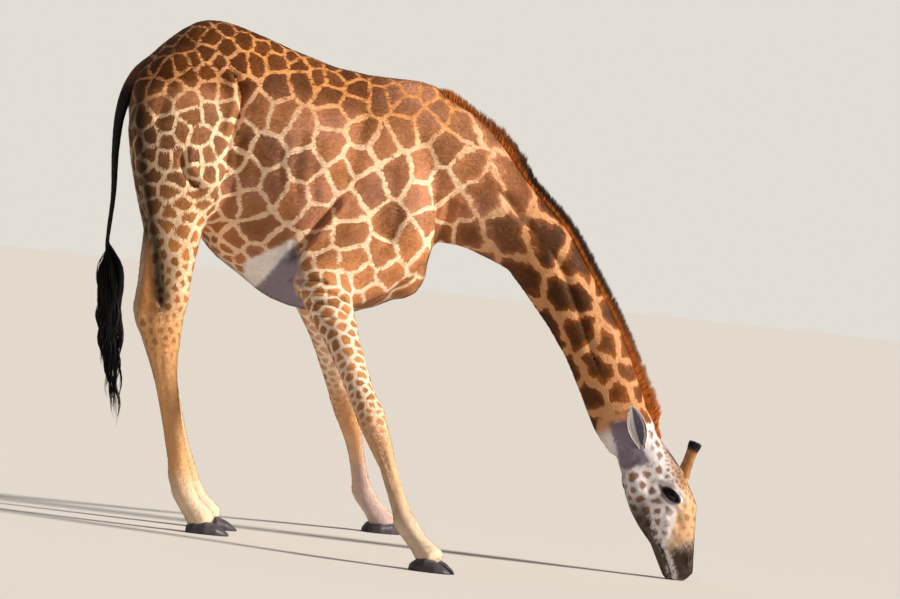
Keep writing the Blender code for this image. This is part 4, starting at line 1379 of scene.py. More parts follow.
@dataclass
class Markings:
    """Patches and lines of the coat, grown from seeds spread over the skin."""

    seed: int = 7
    packing: float = 0.80
    candidates: int = 26_000
    palette: Palette = field(default_factory=Palette)
    sites: Array = field(default_factory=lambda: np.zeros((0, 3)))

    def spacing(self, places: Anatomy) -> Array:
        """The mean distance between patch middles at each point.

        Args:
            places: The points, with their parts and measures.

        Returns:
            The distances.
        """
        x, z = places.x, places.z
        trunk = 0.130 - 0.046 * smooth(0.20, 0.07, self.below_back(places))
        rump = smooth(-0.88, -1.04, x)
        thigh = np.interp(z, (1.20, 1.45, 1.70, 1.95, 2.10), (0.050, 0.060, 0.074, 0.090, 0.078))
        trunk = blend(trunk, thigh, rump)
        elbow = smooth(1.45, 1.20, z) * smooth(-0.30, -0.52, x)
        trunk = blend(trunk, 0.060, elbow)
        neck = np.interp(x, (0.10, 0.50, 0.80, 0.95, 1.05), (0.182, 0.168, 0.136, 0.100, 0.066))
        made = blend(trunk, neck, places.neck)
        fore = np.interp(z, (0.45, 0.62, 0.85, 1.05, 1.25), (0.029, 0.035, 0.048, 0.056, 0.063))
        made = blend(made, fore, places.fore)
        hind = np.interp(z, (0.60, 0.80, 1.00, 1.20, 1.40), (0.026, 0.032, 0.042, 0.052, 0.062))
        made = blend(made, hind, places.hind)
        forehead = smooth(0.055, 0.100, places.face) * smooth(0.34, 0.27, places.along)
        muzzle = smooth(0.36, 0.46, places.along)
        head = 0.056 - 0.035 * forehead - 0.018 * muzzle
        return blend(made, head, places.head)

    def below_back(self, places: Anatomy) -> Array:
        """How far each point is below the line of the back.

        Args:
            places: The points, with their parts and measures.

        Returns:
            The distances.
        """
        line = np.interp(places.x, (-1.39, -1.17, -0.89, -0.65, -0.39, -0.06),
                         (2.19, 2.362, 2.318, 2.242, 2.194, 2.172))
        return line - places.z

    def half_line(self, places: Anatomy) -> Array:
        """Half the width of the lines between patches at each point.

        Args:
            places: The points, with their parts and measures.

        Returns:
            The half widths.
        """
        x, z = places.x, places.z
        made = 0.0110 - 0.0026 * smooth(0.24, 0.08, self.below_back(places)) - 0.0015 * smooth(1.40, 1.26, z)
        made = made - (0.0020 - 0.0006 * smooth(1.70, 1.40, z)) * smooth(-0.90, -1.05, x)
        neck = np.interp(x, (0.10, 0.35, 0.60, 1.00), (0.0120, 0.0145, 0.0165, 0.0140))
        made = blend(made, neck, places.neck)
        fore = np.interp(z, (0.50, 0.75, 1.10), (0.0080, 0.0085, 0.0088))
        made = blend(made, fore, places.fore)
        hind = np.interp(z, (0.60, 0.90, 1.30), (0.0085, 0.0100, 0.0112))
        made = blend(made, hind, places.hind)
        forehead = smooth(0.055, 0.100, places.face) * smooth(0.34, 0.27, places.along)
        head = 0.0118 - 0.0072 * forehead
        return blend(made, head, places.head)

    def grain(self, places: Anatomy) -> tuple[Array, Array]:
        """The direction that patches are long in, and how short distances count along it.

        Args:
            places: The points, with their parts and measures.

        Returns:
            The directions and the factors.
        """
        x, z = places.x, places.z
        way = np.tile((0.10, 0.0, 1.0), (len(x), 1))
        stretch = np.full(len(x), 0.82)
        low = smooth(1.56, 1.40, z) * smooth(-0.42, -0.52, x) * smooth(-1.02, -0.96, x)
        way = blend(way, np.array((1.0, 0.0, 0.30)), low[:, None])
        stretch = np.where(low > 0.5, 0.66, stretch)
        thigh = smooth(-0.98, -1.06, x)
        stretch = blend(stretch, 0.95, thigh)
        folds = thigh * smooth(1.72, 1.60, z) * smooth(1.25, 1.35, z)
        way = blend(way, np.array((1.0, 0.0, 0.15)), folds[:, None])
        stretch = blend(stretch, 0.68, folds)
        neck = places.neck[:, None]
        way = blend(way, np.array((0.62, 0.0, -0.78)), neck)
        stretch = blend(stretch, 0.78, places.neck)
        elbow = (1 - places.neck) * smooth(1.34, 1.26, z) * smooth(-0.90, -0.80, x)
        way = blend(way, np.array((1.0, 0.0, 0.10)), elbow[:, None])
        stretch = blend(stretch, 0.66, elbow)
        legs = np.maximum(places.fore, places.hind)
        stretch = blend(stretch, 0.95, legs)
        return unit(way), stretch * (1 - places.head) + places.head

    def strength(self, places: Anatomy, normals: Array) -> Array:
        """How plainly the patches show: not at all on the cannons, belly and ears' roots.

        Args:
            places: The points, with their parts and measures.
            normals: The skin's normals there.

        Returns:
            Shares from 0 to 1.
        """
        z = places.z
        made = np.ones(len(z))
        made = made * (1 - places.hind * smooth(0.98, 0.62, z))
        made = made * (1 - places.fore * smooth(0.66, 0.46, z))
        inside = -normals[:, 1] * np.sign(places.y)
        made = made * (1 - 0.75 * places.hind * smooth(0.25, 0.75, inside) * smooth(1.25, 1.05, z))
        made = made * (1 - 0.40 * places.fore * smooth(0.25, 0.75, inside))
        made = made * (1 - 0.95 * self.pale_underside(places, normals))
        made = made * (1 - 0.10 * places.head)
        wave = 0.012 * noise_at(places.points, 0.03, 12.0)
        band = smooth(-0.105, -0.085, places.along + wave) * smooth(0.112, 0.090, places.along + wave)
        band = band * smooth(0.055, 0.030, places.face + wave) * (places.x > 0.9)
        made = made * (1 - 0.96 * band)
        throat = smooth(-0.200, -0.150, places.along + wave) * smooth(0.112, 0.090, places.along)
        throat = throat * (places.x > 0.85)
        made = made * (1 - 0.90 * throat * smooth(-0.010, -0.050, places.face + wave))
        made = made * (1 - 0.90 * self.tendon(places))
        cheek = smooth(-0.030, 0.020, places.face + wave) * smooth(0.30, 0.36, places.along)
        made = made * (1 - 0.50 * cheek * smooth(0.090, 0.070, places.face) * places.head)
        nose = places.head * smooth(0.40, 0.50, places.along)
        made = made * (1 - 0.60 * nose)
        round_eye = smooth(3.3, 2.5, across_lids(places.points)[3]) * places.head
        bridge = smooth(0.055, 0.105, places.face) * smooth(0.28, 0.36, places.along) * places.head
        return made * (1 - 0.90 * round_eye) * (1 - 0.15 * bridge)

    def heel_line(self, z: Array) -> Array:
        """Where the groove in front of the hind leg's tendon lies, at each height."""
        return np.interp(z, (0.99, 1.27, 1.57, 1.81, 2.01), (-1.232, -1.289, -1.372, -1.426, -1.448))

    def tendon(self, places: Anatomy) -> Array:
        """The plain strip over the hind leg's tendon, from 0 to 1."""
        behind = smooth(-0.014, -0.034, places.x - self.heel_line(places.z))
        return behind * smooth(0.94, 1.02, places.z) * smooth(1.52, 1.36, places.z) * (places.x < -1.0)

    def pale_underside(self, places: Anatomy, normals: Array) -> Array:
        """The unmarked skin of belly and armpit, from 0 to 1.

        Args:
            places: The points, with their parts and measures.
            normals: The skin's normals there.

        Returns:
            The shares.
        """
        x, z = places.x, places.z
        ragged = 0.010 * noise_at(places.points, 0.035, 15.0)
        line = z - (1.273 + 0.64 * (x + 0.852)) + ragged
        behind = smooth(-0.885, -0.855, x + ragged) * smooth(-0.610, -0.650, x + 0.3 * (z - 1.30))
        pit = smooth(0.020, 0.000, line) * behind
        under = smooth(-0.72, -0.93, normals[:, 2]) * smooth(-0.42, -0.52, x) * smooth(1.55, 1.40, z)
        legs = np.maximum(places.hind, places.fore)
        return np.maximum(pit, under) * (1 - places.neck) * (1 - legs) * (1 - places.head)

    def shadowed_skin(self, places: Anatomy, normals: Array) -> Array:
        """Painted shade: the grey-lilac of the armpit and under the ear, from 0 to 1.

        Args:
            places: The points, with their parts and measures.
            normals: The skin's normals there.

        Returns:
            The shares.
        """
        ragged = 0.008 * noise_at(places.points, 0.030, 18.0)
        edge = places.x + 0.640 - 0.622 * (places.z - 1.409) + ragged
        pit = smooth(-0.012, 0.012, edge) * self.pale_underside(places, normals)
        along, face = places.along + ragged, places.face + ragged
        ear = smooth(-0.150, -0.125, along) * smooth(0.098, 0.078, along) * (places.x > 0.85)
        ear = ear * smooth(0.006, -0.010, face - 0.26 * along + 0.010) * smooth(-0.128, -0.112, face)
        return np.clip(pit + ear, 0.0, 1.0)

    def warped(self, points: Array, places: Anatomy) -> Array:
        """Points moved a little by noise, so that borders aren't straight.

        Args:
            points: Body points.
            places: The points, with their parts and measures.

        Returns:
            The moved points.
        """
        size = self.spacing(places)
        rough = 0.11 + 0.07 * places.neck
        wide = noise_vectors(points, 0.085, 3.0) * 0.9
        fine = noise_vectors(points, 0.030, 9.0) * 0.5
        return points + (wide + fine) * (size * rough)[:, None]

    def grow(self, points: Array) -> None:
        """Spreads the seeds over the skin, no two nearer than the local spacing.

        Args:
            points: Body points of the skin.
        """
        rng = np.random.default_rng(self.seed)
        order = rng.permutation(len(points))[: self.candidates]
        places = Anatomy(points[order])
        chosen = self.warped(points[order], places)
        sizes = self.spacing(places) * self.packing
        ways, stretches = self.grain(places)
        kept = np.zeros((6000, 3))
        count = 0
        for place, size, way, stretch in zip(chosen, sizes, ways, 1.0 - stretches**2):
            gaps = kept[:count] - place
            near = (gaps**2).sum(1) - stretch * (gaps @ way) ** 2
            if count and near.min() < size * size:
                continue
            kept[count] = place
            count += 1
        self.sites = kept[:count]
        log.info("coat: %d patches", count)

    def measure(self, points: Array, normals: Array) -> dict[str, Array]:
        """The coat's values at some points.

        Args:
            points: Body points.
            normals: The skin's normals there.

        Returns:
            "marks" (depth into a patch in centimetres, the patch's tone, how plainly it shows),
            "ground" and "patch" colours.
        """
        places = Anatomy(points)
        moved = self.warped(points, places)
        tree = KDTree(len(self.sites))
        for index, site in enumerate(self.sites):
            tree.insert(site, index)
        tree.balance()
        near = np.array([[found[1] for found in tree.find_n(place, 7)] for place in moved])
        way, stretch = self.grain(places)
        gaps = self.sites[near] - moved[:, None, :]
        shorter = (1.0 - stretch**2)[:, None]
        squares = (gaps**2).sum(2) - shorter * np.einsum("ijk,ik->ij", gaps, way) ** 2
        order = np.argsort(squares, axis=1)
        squares = np.take_along_axis(squares, order, 1)
        near = np.take_along_axis(near, order, 1)
        between = self.sites[near[:, 1:]] - self.sites[near[:, :1]]
        between -= (shorter * np.einsum("ijk,ik->ij", between, way))[:, :, None] * way[:, None, :]
        apart = np.linalg.norm(between, axis=2)
        depth = ((squares[:, 1:] - squares[:, :1]) / (2.0 * apart)).min(1) - self.half_line(places)
        tones = np.random.default_rng(self.seed + 1).uniform(0.0, 1.0, len(self.sites))
        depth = depth * (1 - 0.60 * places.head)
        marks = np.stack([depth * 100.0, tones[near[:, 0]], self.strength(places, normals)], axis=1)
        ground, patch = self.colours(places, normals, depth)
        return {"marks": marks, "ground": ground, "patch": patch}

    def colours(self, places: Anatomy, normals: Array, depth: Array) -> tuple[Array, Array]:
        """The colour between patches and the colour of patches at each point, with painted shade laid into
        both.

        Args:
            places: The points, with their parts and measures.
            normals: The skin's normals there.
            depth: Metres from the edge into the patch.

        Returns:
            The ground and patch colours, one row each.
        """
        p = self.palette
        x, z = places.x, places.z
        legs = np.maximum(places.hind, places.fore)
        body = (1 - places.neck) * (1 - legs)
        inside = smooth(0.15, 0.75, -normals[:, 1] * np.sign(places.y))

        ground = Layers(np.tile(p.cream, (len(x), 1)))
        ground.lay(p.thigh_line, smooth(-0.96, -1.08, x))
        below = self.below_back(places)
        ground.lay(p.back_line, smooth(0.42, 0.12, below) * body)
        ground.lay(p.rump_line, smooth(1.92, 2.12, z) * smooth(-0.92, -1.05, x))
        ground.lay(p.belly, self.pale_underside(places, normals))
        ground.lay(p.neck_line, places.neck * (1 - 0.45 * smooth(0.45, 0.15, x)))
        ground.lay(p.thigh_line, places.hind * smooth(1.0, 1.3, z))
        ground.lay(p.fore_line, places.fore)
        ground.lay(p.leg_tan, places.hind * smooth(1.20, 0.88, z))
        ground.lay(p.leg_tan, 0.85 * places.fore * smooth(0.80, 0.50, z))
        ground.lay(p.leg_cream, 0.45 * places.fore * smooth(0.56, 0.34, z))
        ground.lay(p.leg_cream, legs * smooth(0.34, 0.12, z))
        ground.lay(p.tendon_tan, self.tendon(places))
        ground.lay(p.leg_inside, 0.8 * places.hind * inside * smooth(0.2, 0.6, z))
        ground.lay(p.tendon_tan, 0.65 * places.fore * inside * smooth(0.85, 0.62, z))
        # painted shade on the forelegs' inner faces, low down
        ground.lay(p.fore_inside, 0.9 * places.fore * inside * smooth(0.46, 0.26, z))
        head = places.head
        along, face = places.along, places.face
        ground.lay(p.head_white, smooth(-0.13, -0.07, along) * (x > 0.85))
        # painted shade: grey-lilac in the armpit and under the ear
        ground.lay(p.bare_grey, 0.92 * self.shadowed_skin(places, normals))
        brow = head * smooth(0.075, 0.115, face) * smooth(0.40, 0.20, along)
        ground.lay(p.brow_tan, 0.80 * brow)
        stem = bell(along, 0.215, 0.045) * smooth(0.105, 0.135, face) * head
        ground.lay(p.stem_tan, 0.85 * stem)
        bridge = smooth(0.050, 0.105, face + 0.10 * smooth(0.30, 0.55, along))
        bridge = bridge * smooth(0.22, 0.34, along + 1.6 * np.maximum(face - 0.115, 0.0))
        ground.lay(p.nose_tan, bridge * smooth(0.60, 0.46, along) * head)
        streak = 0.030 * noise_at(np.stack([4.0 * x, places.points[:, 1], z], axis=1), 0.012, 3.0)
        muzzle = smooth(0.455, 0.545, along + streak) * smooth(-0.030, 0.006, face + 0.5 * streak)
        ground.lay(p.muzzle, 0.96 * muzzle * head)
        # the lower jaw darker: partly its own dark hair, partly painted shade under the jaw
        jaw = smooth(-0.046, -0.066, face - 0.022 * smooth(0.40, 0.52, along) + streak)
        jaw = jaw * smooth(0.16, 0.34, along)
        ground.lay(p.muzzle, 0.90 * jaw * head)
        length, height, _, almond = across_lids(places.points)
        ring = smooth(3.1, 2.2, almond) * smooth(0.014, -0.004, height + 0.35 * length) * head
        ground.lay(p.eye_ring, 0.90 * ring)
        lid = smooth(2.6, 2.0, almond) * smooth(0.000, 0.012, height) * head
        ground.lay(p.head_white, lid)
        ground.lay(p.eye_rim, smooth(1.62, 1.36, almond) * head)
        tear = smooth(0.007, 0.002, np.abs(height + 0.002)) * bell(np.abs(length), 0.040, 0.011) * head
        ground.lay(p.eye_rim, tear)
        mouth = smooth(0.006, 0.002, np.abs(face + 0.032 + 0.10 * np.maximum(0.58 - along, 0.0)))
        ground.lay(p.eye_rim, 0.85 * mouth * smooth(0.455, 0.475, along) * head)
        for side in Side:
            slit = self.nostril(places.points, side.value)
            ground.lay(p.eye_rim, smooth(1.0, 0.6, slit))

        patch = Layers(np.tile(p.trunk_patch, (len(x), 1)))
        patch.lay(p.rosy_patch, 0.75 * smooth(-0.10, 0.45, noise_at(places.points, 0.17, 21.0)))
        olive = smooth(0.10, 0.60, noise_at(places.points, 0.15, 27.0))
        patch.lay(p.olive_patch, 0.75 * olive * body)
        rump = smooth(0.32, 0.10, below) * smooth(-0.15, -0.42, x)
        patch.lay(p.rump_patch, 0.9 * rump * body)
        patch.lay(p.rump_patch, smooth(-0.70, -1.00, x) * smooth(1.95, 2.10, z))
        patch.lay(p.thigh_patch, smooth(-0.98, -1.08, x) * smooth(2.05, 1.90, z))
        shoulder = smooth(-0.50, -0.30, x) * smooth(1.65, 1.40, z) * body
        patch.lay(p.shoulder_patch, shoulder)
        neck = places.neck * smooth(0.18, 0.58, x)
        patch.lay(p.neck_rim, neck)
        dark = smooth(0.001, 0.026, depth) * (1 - 0.5 * smooth(0.84, 0.98, x))
        patch.lay(p.neck_patch, neck * dark)
        patch.lay(p.neck_patch, 0.45 * (places.neck - neck) * smooth(0.001, 0.030, depth))
        lower = np.maximum(legs, smooth(-0.98, -1.08, x)) * smooth(1.75, 1.25, z)
        patch.lay(p.leg_patch, lower)
        patch.lay(p.fore_patch, places.fore)
        patch.lay(p.head_patch, head)
        patch.lay(p.nose_patch, bridge * head)
        # on the jaw this darkening of the patches is partly painted shade
        patch.lay(p.muzzle, 0.80 * np.maximum(jaw, muzzle) * head)
        # painted shade: a dark band along the groove in front of the hind leg's tendon and up the back of the
        # thigh, darkening ground and patches alike
        ragged = 0.008 * noise_at(np.stack([x, places.points[:, 1], 0.25 * z], axis=1), 0.012, 5.0)
        dark = bell(x, self.heel_line(z) + ragged, 0.034) * smooth(0.96, 1.06, z) * smooth(2.10, 1.90, z)
        dark = (1 - 0.90 * dark * (x < -1.0))[:, None]
        return ground.colours * dark, patch.colours * dark

    def nostril(self, points: Array, side: float) -> Array:
        """The nostril's measure, 1 on its edge.

        Args:
            points: Body points.
            side: -1 for the right side, 1 for the left.

        Returns:
            The measures.
        """
        offset = points - np.array(in_head(0.578, 0.074, 0.044 * side))
        along = offset @ np.array(HEAD_DOWN)
        face = offset @ np.array(HEAD_FACE) + along * 0.42
        return np.sqrt((along / 0.021) ** 2 + (face / 0.0085) ** 2 + (offset[:, 1] / 0.030) ** 2)


# Short fur -------------------------------------------------------------------------------------
@dataclass
class Fur:
    """Short fur in keeled locks that lie along the body, one piece for each part."""

    seed: int = 11
    patch_size: float = 0.003
    narrowness: float = 0.32
    least_rise: float = 0.70
    root_sink: float = 0.0012
    lowest: float = 0.001
    surface: BVHTree | None = None

    COUNTS = {
        Part.REAR: 36_000,
        Part.BARREL: 40_000,
        Part.CHEST: 40_000,
        Part.NECK: 40_000,
        Part.HEAD: 44_000,
        Part.FORE_RIGHT: 19_000,
        Part.FORE_LEFT: 15_000,
        Part.HIND_RIGHT: 22_000,
        Part.HIND_LEFT: 18_000,
    }

    def build(self, skin: bpy.types.Object, shift: Vector, markings: Markings) -> list[bpy.types.Object]:
        """Grows the fur of every part.

        Args:
            skin: The finished skin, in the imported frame.
            shift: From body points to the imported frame.
            markings: The coat's patches.

        Returns:
            One object for each part.
        """
        rng = np.random.default_rng(self.seed)
        mesh = skin.data
        points = points_of(mesh) - np.array(shift)
        normals = normals_of(mesh)
        normals = unit(np.stack([Skin().spread(mesh, normals[:, k], 3) for k in range(3)], axis=1))
        corners = np.empty(len(mesh.polygons) * 3, np.int32)
        mesh.loops.foreach_get("vertex_index", corners)
        corners = corners.reshape(-1, 3)
        a, b, c = (points[corners[:, k]] for k in range(3))
        areas = np.linalg.norm(np.cross(b - a, c - a), axis=1) / 2
        middles = (a + b + c) / 3
        parts = Anatomy(middles).part
        bare = self.bare(middles)
        self.surface = BVHTree.FromPolygons(points.tolist(), corners.tolist())
        made = []
        axes = part_axes()
        for part, count in self.COUNTS.items():
            own = np.flatnonzero((parts == part.value) & ~bare)
            weight = areas[own] * self.density(middles[own])
            picked = own[rng.choice(len(own), count, p=weight / weight.sum())]
            u, v = rng.uniform(0, 1, (2, count))
            flip = u + v > 1
            u, v = np.where(flip, 1 - u, u), np.where(flip, 1 - v, v)
            shares = np.stack([1 - u - v, u, v], axis=1)
            roots = np.einsum("ij,ijk->ik", shares, points[corners[picked]])
            ways = unit(np.einsum("ij,ijk->ik", shares, normals[corners[picked]]))
            made.append(self.part_fur(part, roots, ways, axes, rng, shift, markings))
        return made

    def bare(self, points: Array) -> Array:
        """Where no fur grows: eye openings, nostrils, lips' edges and under the hooves."""
        almond = across_lids(points)[3]
        return ((almond < 1.2) & (points[:, 0] > 0.9)) | (points[:, 2] < 0.010)

    def density(self, points: Array) -> Array:
        """How thickly the fur grows, as a share."""
        places = Anatomy(points)
        return 1.0 + 0.8 * smooth(0.35, 0.55, places.along) * places.head

    def lengths(self, places: Anatomy) -> tuple[Array, Array]:
        """The length and width of the locks at each root.

        Args:
            places: The roots.

        Returns:
            Lengths and widths.
        """
        legs = np.maximum(places.hind, places.fore)
        length = 0.0112 - 0.0022 * legs
        length = length - 0.002 * legs * smooth(0.35, 0.12, places.z)
        face = 0.0080 - 0.0034 * smooth(0.25, 0.50, places.along)
        length = blend(length, face, places.head)
        near_eye = smooth(3.2, 1.6, across_lids(places.points)[3]) * places.head
        return length * (1 - 0.45 * near_eye), length * self.narrowness

    def lie(self, places: Anatomy, normals: Array, axes: dict[Part, Axis]) -> Array:
        """The direction that the fur points, along the skin: tailwards on the body, down on the legs.

        Args:
            places: The roots.
            normals: The skin's normals there.
            axes: The parts' middle lines.

        Returns:
            The directions.
        """
        back = np.tile((-1.0, 0.0, -0.35), (len(places.x), 1))
        neck_way = axes[Part.NECK].chart(places.points)[2]
        way = blend(back, -neck_way, places.neck[:, None])
        up_head = np.tile(-np.array(HEAD_DOWN), (len(places.x), 1))
        way = blend(way, up_head, places.head[:, None])
        down = np.tile((0.0, 0.0, -1.0), (len(places.x), 1))
        thigh = smooth(-0.95, -1.15, places.x) * smooth(2.15, 1.70, places.z)
        legs = np.maximum(np.maximum(places.hind, places.fore), thigh)[:, None]
        way = blend(way, down, legs)
        way = way - normals * np.einsum("ij,ij->i", way, normals)[:, None]
        return unit(way)

    def part_fur(
        self,
        part: Part,
        roots: Array,
        normals: Array,
        axes: dict[Part, Axis],
        rng: np.random.Generator,
        shift: Vector,
        markings: Markings,
    ) -> bpy.types.Object:
        """Builds the fur of one part as keeled locks of four points each.

        Args:
            part: The part that it grows on.
            roots: Body points on the skin.
            normals: The skin's normals at the roots.
            axes: The parts' middle lines.
            rng: The source of chance.
            shift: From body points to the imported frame.
            markings: The coat's patches.

        Returns:
            The fur's object.
        """
        count = len(roots)
        places = Anatomy(roots)
        way = self.lie(places, normals, axes)
        turn = rng.normal(0.0, 0.16, count) + 0.22 * noise_at(roots, 0.10, 7.0)
        cross = np.cross(normals, way)
        way = way * np.cos(turn)[:, None] + cross * np.sin(turn)[:, None]
        cross = np.cross(normals, way)
        length, width = self.lengths(places)
        length = length * rng.uniform(0.75, 1.25, count)
        width = width * rng.uniform(0.8, 1.2, count)
        tip_rise = COAT_DEPTH * rng.uniform(0.30, 0.85, count) * np.clip(length / 0.015, 0.35, 1.0)
        middle = self.laid(roots + way * (0.45 * length)[:, None])
        tip = self.laid(roots + way * length[:, None])
        rises = np.stack([np.einsum("ij,ij->i", unit(np.cross(end - roots, cross)), normals)
                          for end in (middle, tip)])
        flat = rises.min(0) > self.least_rise
        count = int(flat.sum())
        roots, normals, way, cross, middle, tip = (
            rows[flat] for rows in (roots, normals, way, cross, middle, tip))
        length, width, tip_rise = length[flat], width[flat], tip_rise[flat]
        places = Anatomy(roots)
        half = cross * (width / 2)[:, None]
        body = middle + normals * (0.0010 + 0.25 * tip_rise)[:, None]
        points = np.stack([roots - normals * self.root_sink, body + half, body - half,
                           tip + normals * tip_rise[:, None]], axis=1)
        points = points.reshape(-1, 3)
        points[:, 2] = np.maximum(points[:, 2], self.lowest)
        first = np.arange(count)[:, None] * 4
        faces = np.concatenate([first + f for f in ((0, 1, 3), (0, 3, 2), (0, 2, 1), (1, 2, 3))], axis=0)
        name = f"coat_{part.name.lower()}"
        mesh = mesh_from(name, points + np.array(shift), faces)
        values = markings.measure(roots, normals)
        for label, rows in values.items():
            set_values(mesh, label, np.repeat(rows, 4, axis=0))
        set_values(mesh, "root", np.repeat(roots, 4, axis=0))
        strand = np.zeros((count, 4, 3))
        strand[:, :, 0] = (0.0, 0.45, 0.45, 1.0)
        strand[:, :, 1] = rng.uniform(0, 1, count)[:, None]
        strand[:, :, 2] = markings.spacing(places)[:, None]
        set_values(mesh, "strand", strand.reshape(-1, 3))
        self.lay_out(mesh, part, roots, axes, faces)
        tilt = way * rng.uniform(-0.02, 0.20, count)[:, None] + cross * rng.normal(0.0, 0.07, count)[:, None]
        shading = unit(np.repeat(normals + tilt, 4, axis=0))
        mesh.normals_split_custom_set_from_vertices(shading.tolist())
        return new_object(name, mesh)

    def laid(self, points: Array) -> Array:
        """The nearest places on the skin."""
        return np.array([self.surface.find_nearest(point)[0] for point in points])

    def lay_out(self, mesh: bpy.types.Mesh, part: Part, roots: Array, axes: dict[Part, Axis],
                faces: Array) -> None:
        """Gives the fur its map: a small patch for each lock at its root's place round the part.

        Args:
            mesh: The fur's mesh.
            part: The part that it grows on.
            roots: Body points on the skin.
            axes: The parts' middle lines.
            faces: The locks' triangles.
        """
        share, turn, _ = axes[part].chart(roots)
        low, high = share.min(), share.max()
        margin = self.patch_size
        u = margin + (1 - 2 * margin) * (turn % 1.0)
        v = margin + (1 - 2 * margin) * (share - low) / (high - low)
        half = self.patch_size / 2
        corners = np.array(((-half, -half), (half, -half), (-half, half), (half, half)))
        places = np.stack([u, v], axis=1)[:, None, :] + corners[None, :, :]
        layer = mesh.uv_layers.new(name="OFBake")
        layer.data.foreach_set("uv", places.reshape(-1, 2)[faces.ravel()].astype(np.float32).ravel())


# Long hair -------------------------------------------------------------------------------------
@dataclass(frozen=True)
class Lock:
    """One lock of long hair: the points it runs through, its root width and its colour values."""

    path: Array
    width: float
    shade: float
    place: tuple
    darkness: float = 1.0


def hair_mesh(name: str, locks: list[Lock], patch_size: float = 0.003) -> bpy.types.Mesh:
    """Builds locks as three-sided spikes that taper to a point.

    Args:
        name: The mesh's name.
        locks: The locks, whose paths all have the same number of points.
        patch_size: How wide a lock's patch is on the OFBake map.

    Returns:
        The joined mesh, with the values "strand" and the map OFBake.
    """
    paths = np.array([lock.path for lock in locks])
    widths = np.array([lock.width for lock in locks])
    count, rings, _ = paths.shape
    ways = unit(np.gradient(paths, axis=1))
    hint = np.tile((0.13, 0.97, 0.21), (count, 1))
    across = unit(np.cross(ways, hint[:, None, :]))
    other = np.cross(ways, across)
    share = np.linspace(0.0, 1.0, rings)
    taper = (0.55 + 0.45 * np.sin(np.clip(share * 3.0, 0, 1) * math.pi / 2)) * (1 - share**2.2) + 0.03
    points = []
    for corner in range(3):
        angle = 2 * math.pi * corner / 3
        ray = across * math.cos(angle) + other * math.sin(angle)
        points.append(paths + ray * (widths[:, None] * taper[None, :] / 2)[:, :, None])
    points = np.stack(points, axis=2)
    first = np.arange(count)[:, None] * rings * 3
    faces = []
    for ring in range(rings - 1):
        for corner in range(3):
            after = (corner + 1) % 3
            low, high = ring * 3, ring * 3 + 3
            faces.append(first + (low + corner, low + after, high + after))
            faces.append(first + (low + corner, high + after, high + corner))
    faces.append(first + (2, 1, 0))
    end = (rings - 1) * 3
    faces.append(first + (end, end + 1, end + 2))
    faces = np.concatenate(faces, axis=0)
    mesh = mesh_from(name, points.reshape(-1, 3), faces)
    strand = np.zeros((count, rings, 3, 3))
    strand[..., 0] = share[None, :, None] * np.array([lock.darkness for lock in locks])[:, None, None]
    strand[..., 1] = np.array([lock.shade for lock in locks])[:, None, None]
    set_values(mesh, "strand", strand.reshape(-1, 3))
    roots = np.repeat(paths[:, 0, :], rings * 3, axis=0)
    set_values(mesh, "root", roots)
    places = np.array([lock.place for lock in locks])
    grid = np.zeros((count, rings, 3, 2))
    grid[..., 0] = places[:, None, None, 0] + (np.arange(3) - 1)[None, None, :] * patch_size / 2
    grid[..., 1] = places[:, None, None, 1] + ((share - 0.5) * patch_size)[None, :, None]
    layer = mesh.uv_layers.new(name="OFBake")
    layer.data.foreach_set("uv", grid.reshape(-1, 2)[faces.ravel()].astype(np.float32).ravel())
    return mesh


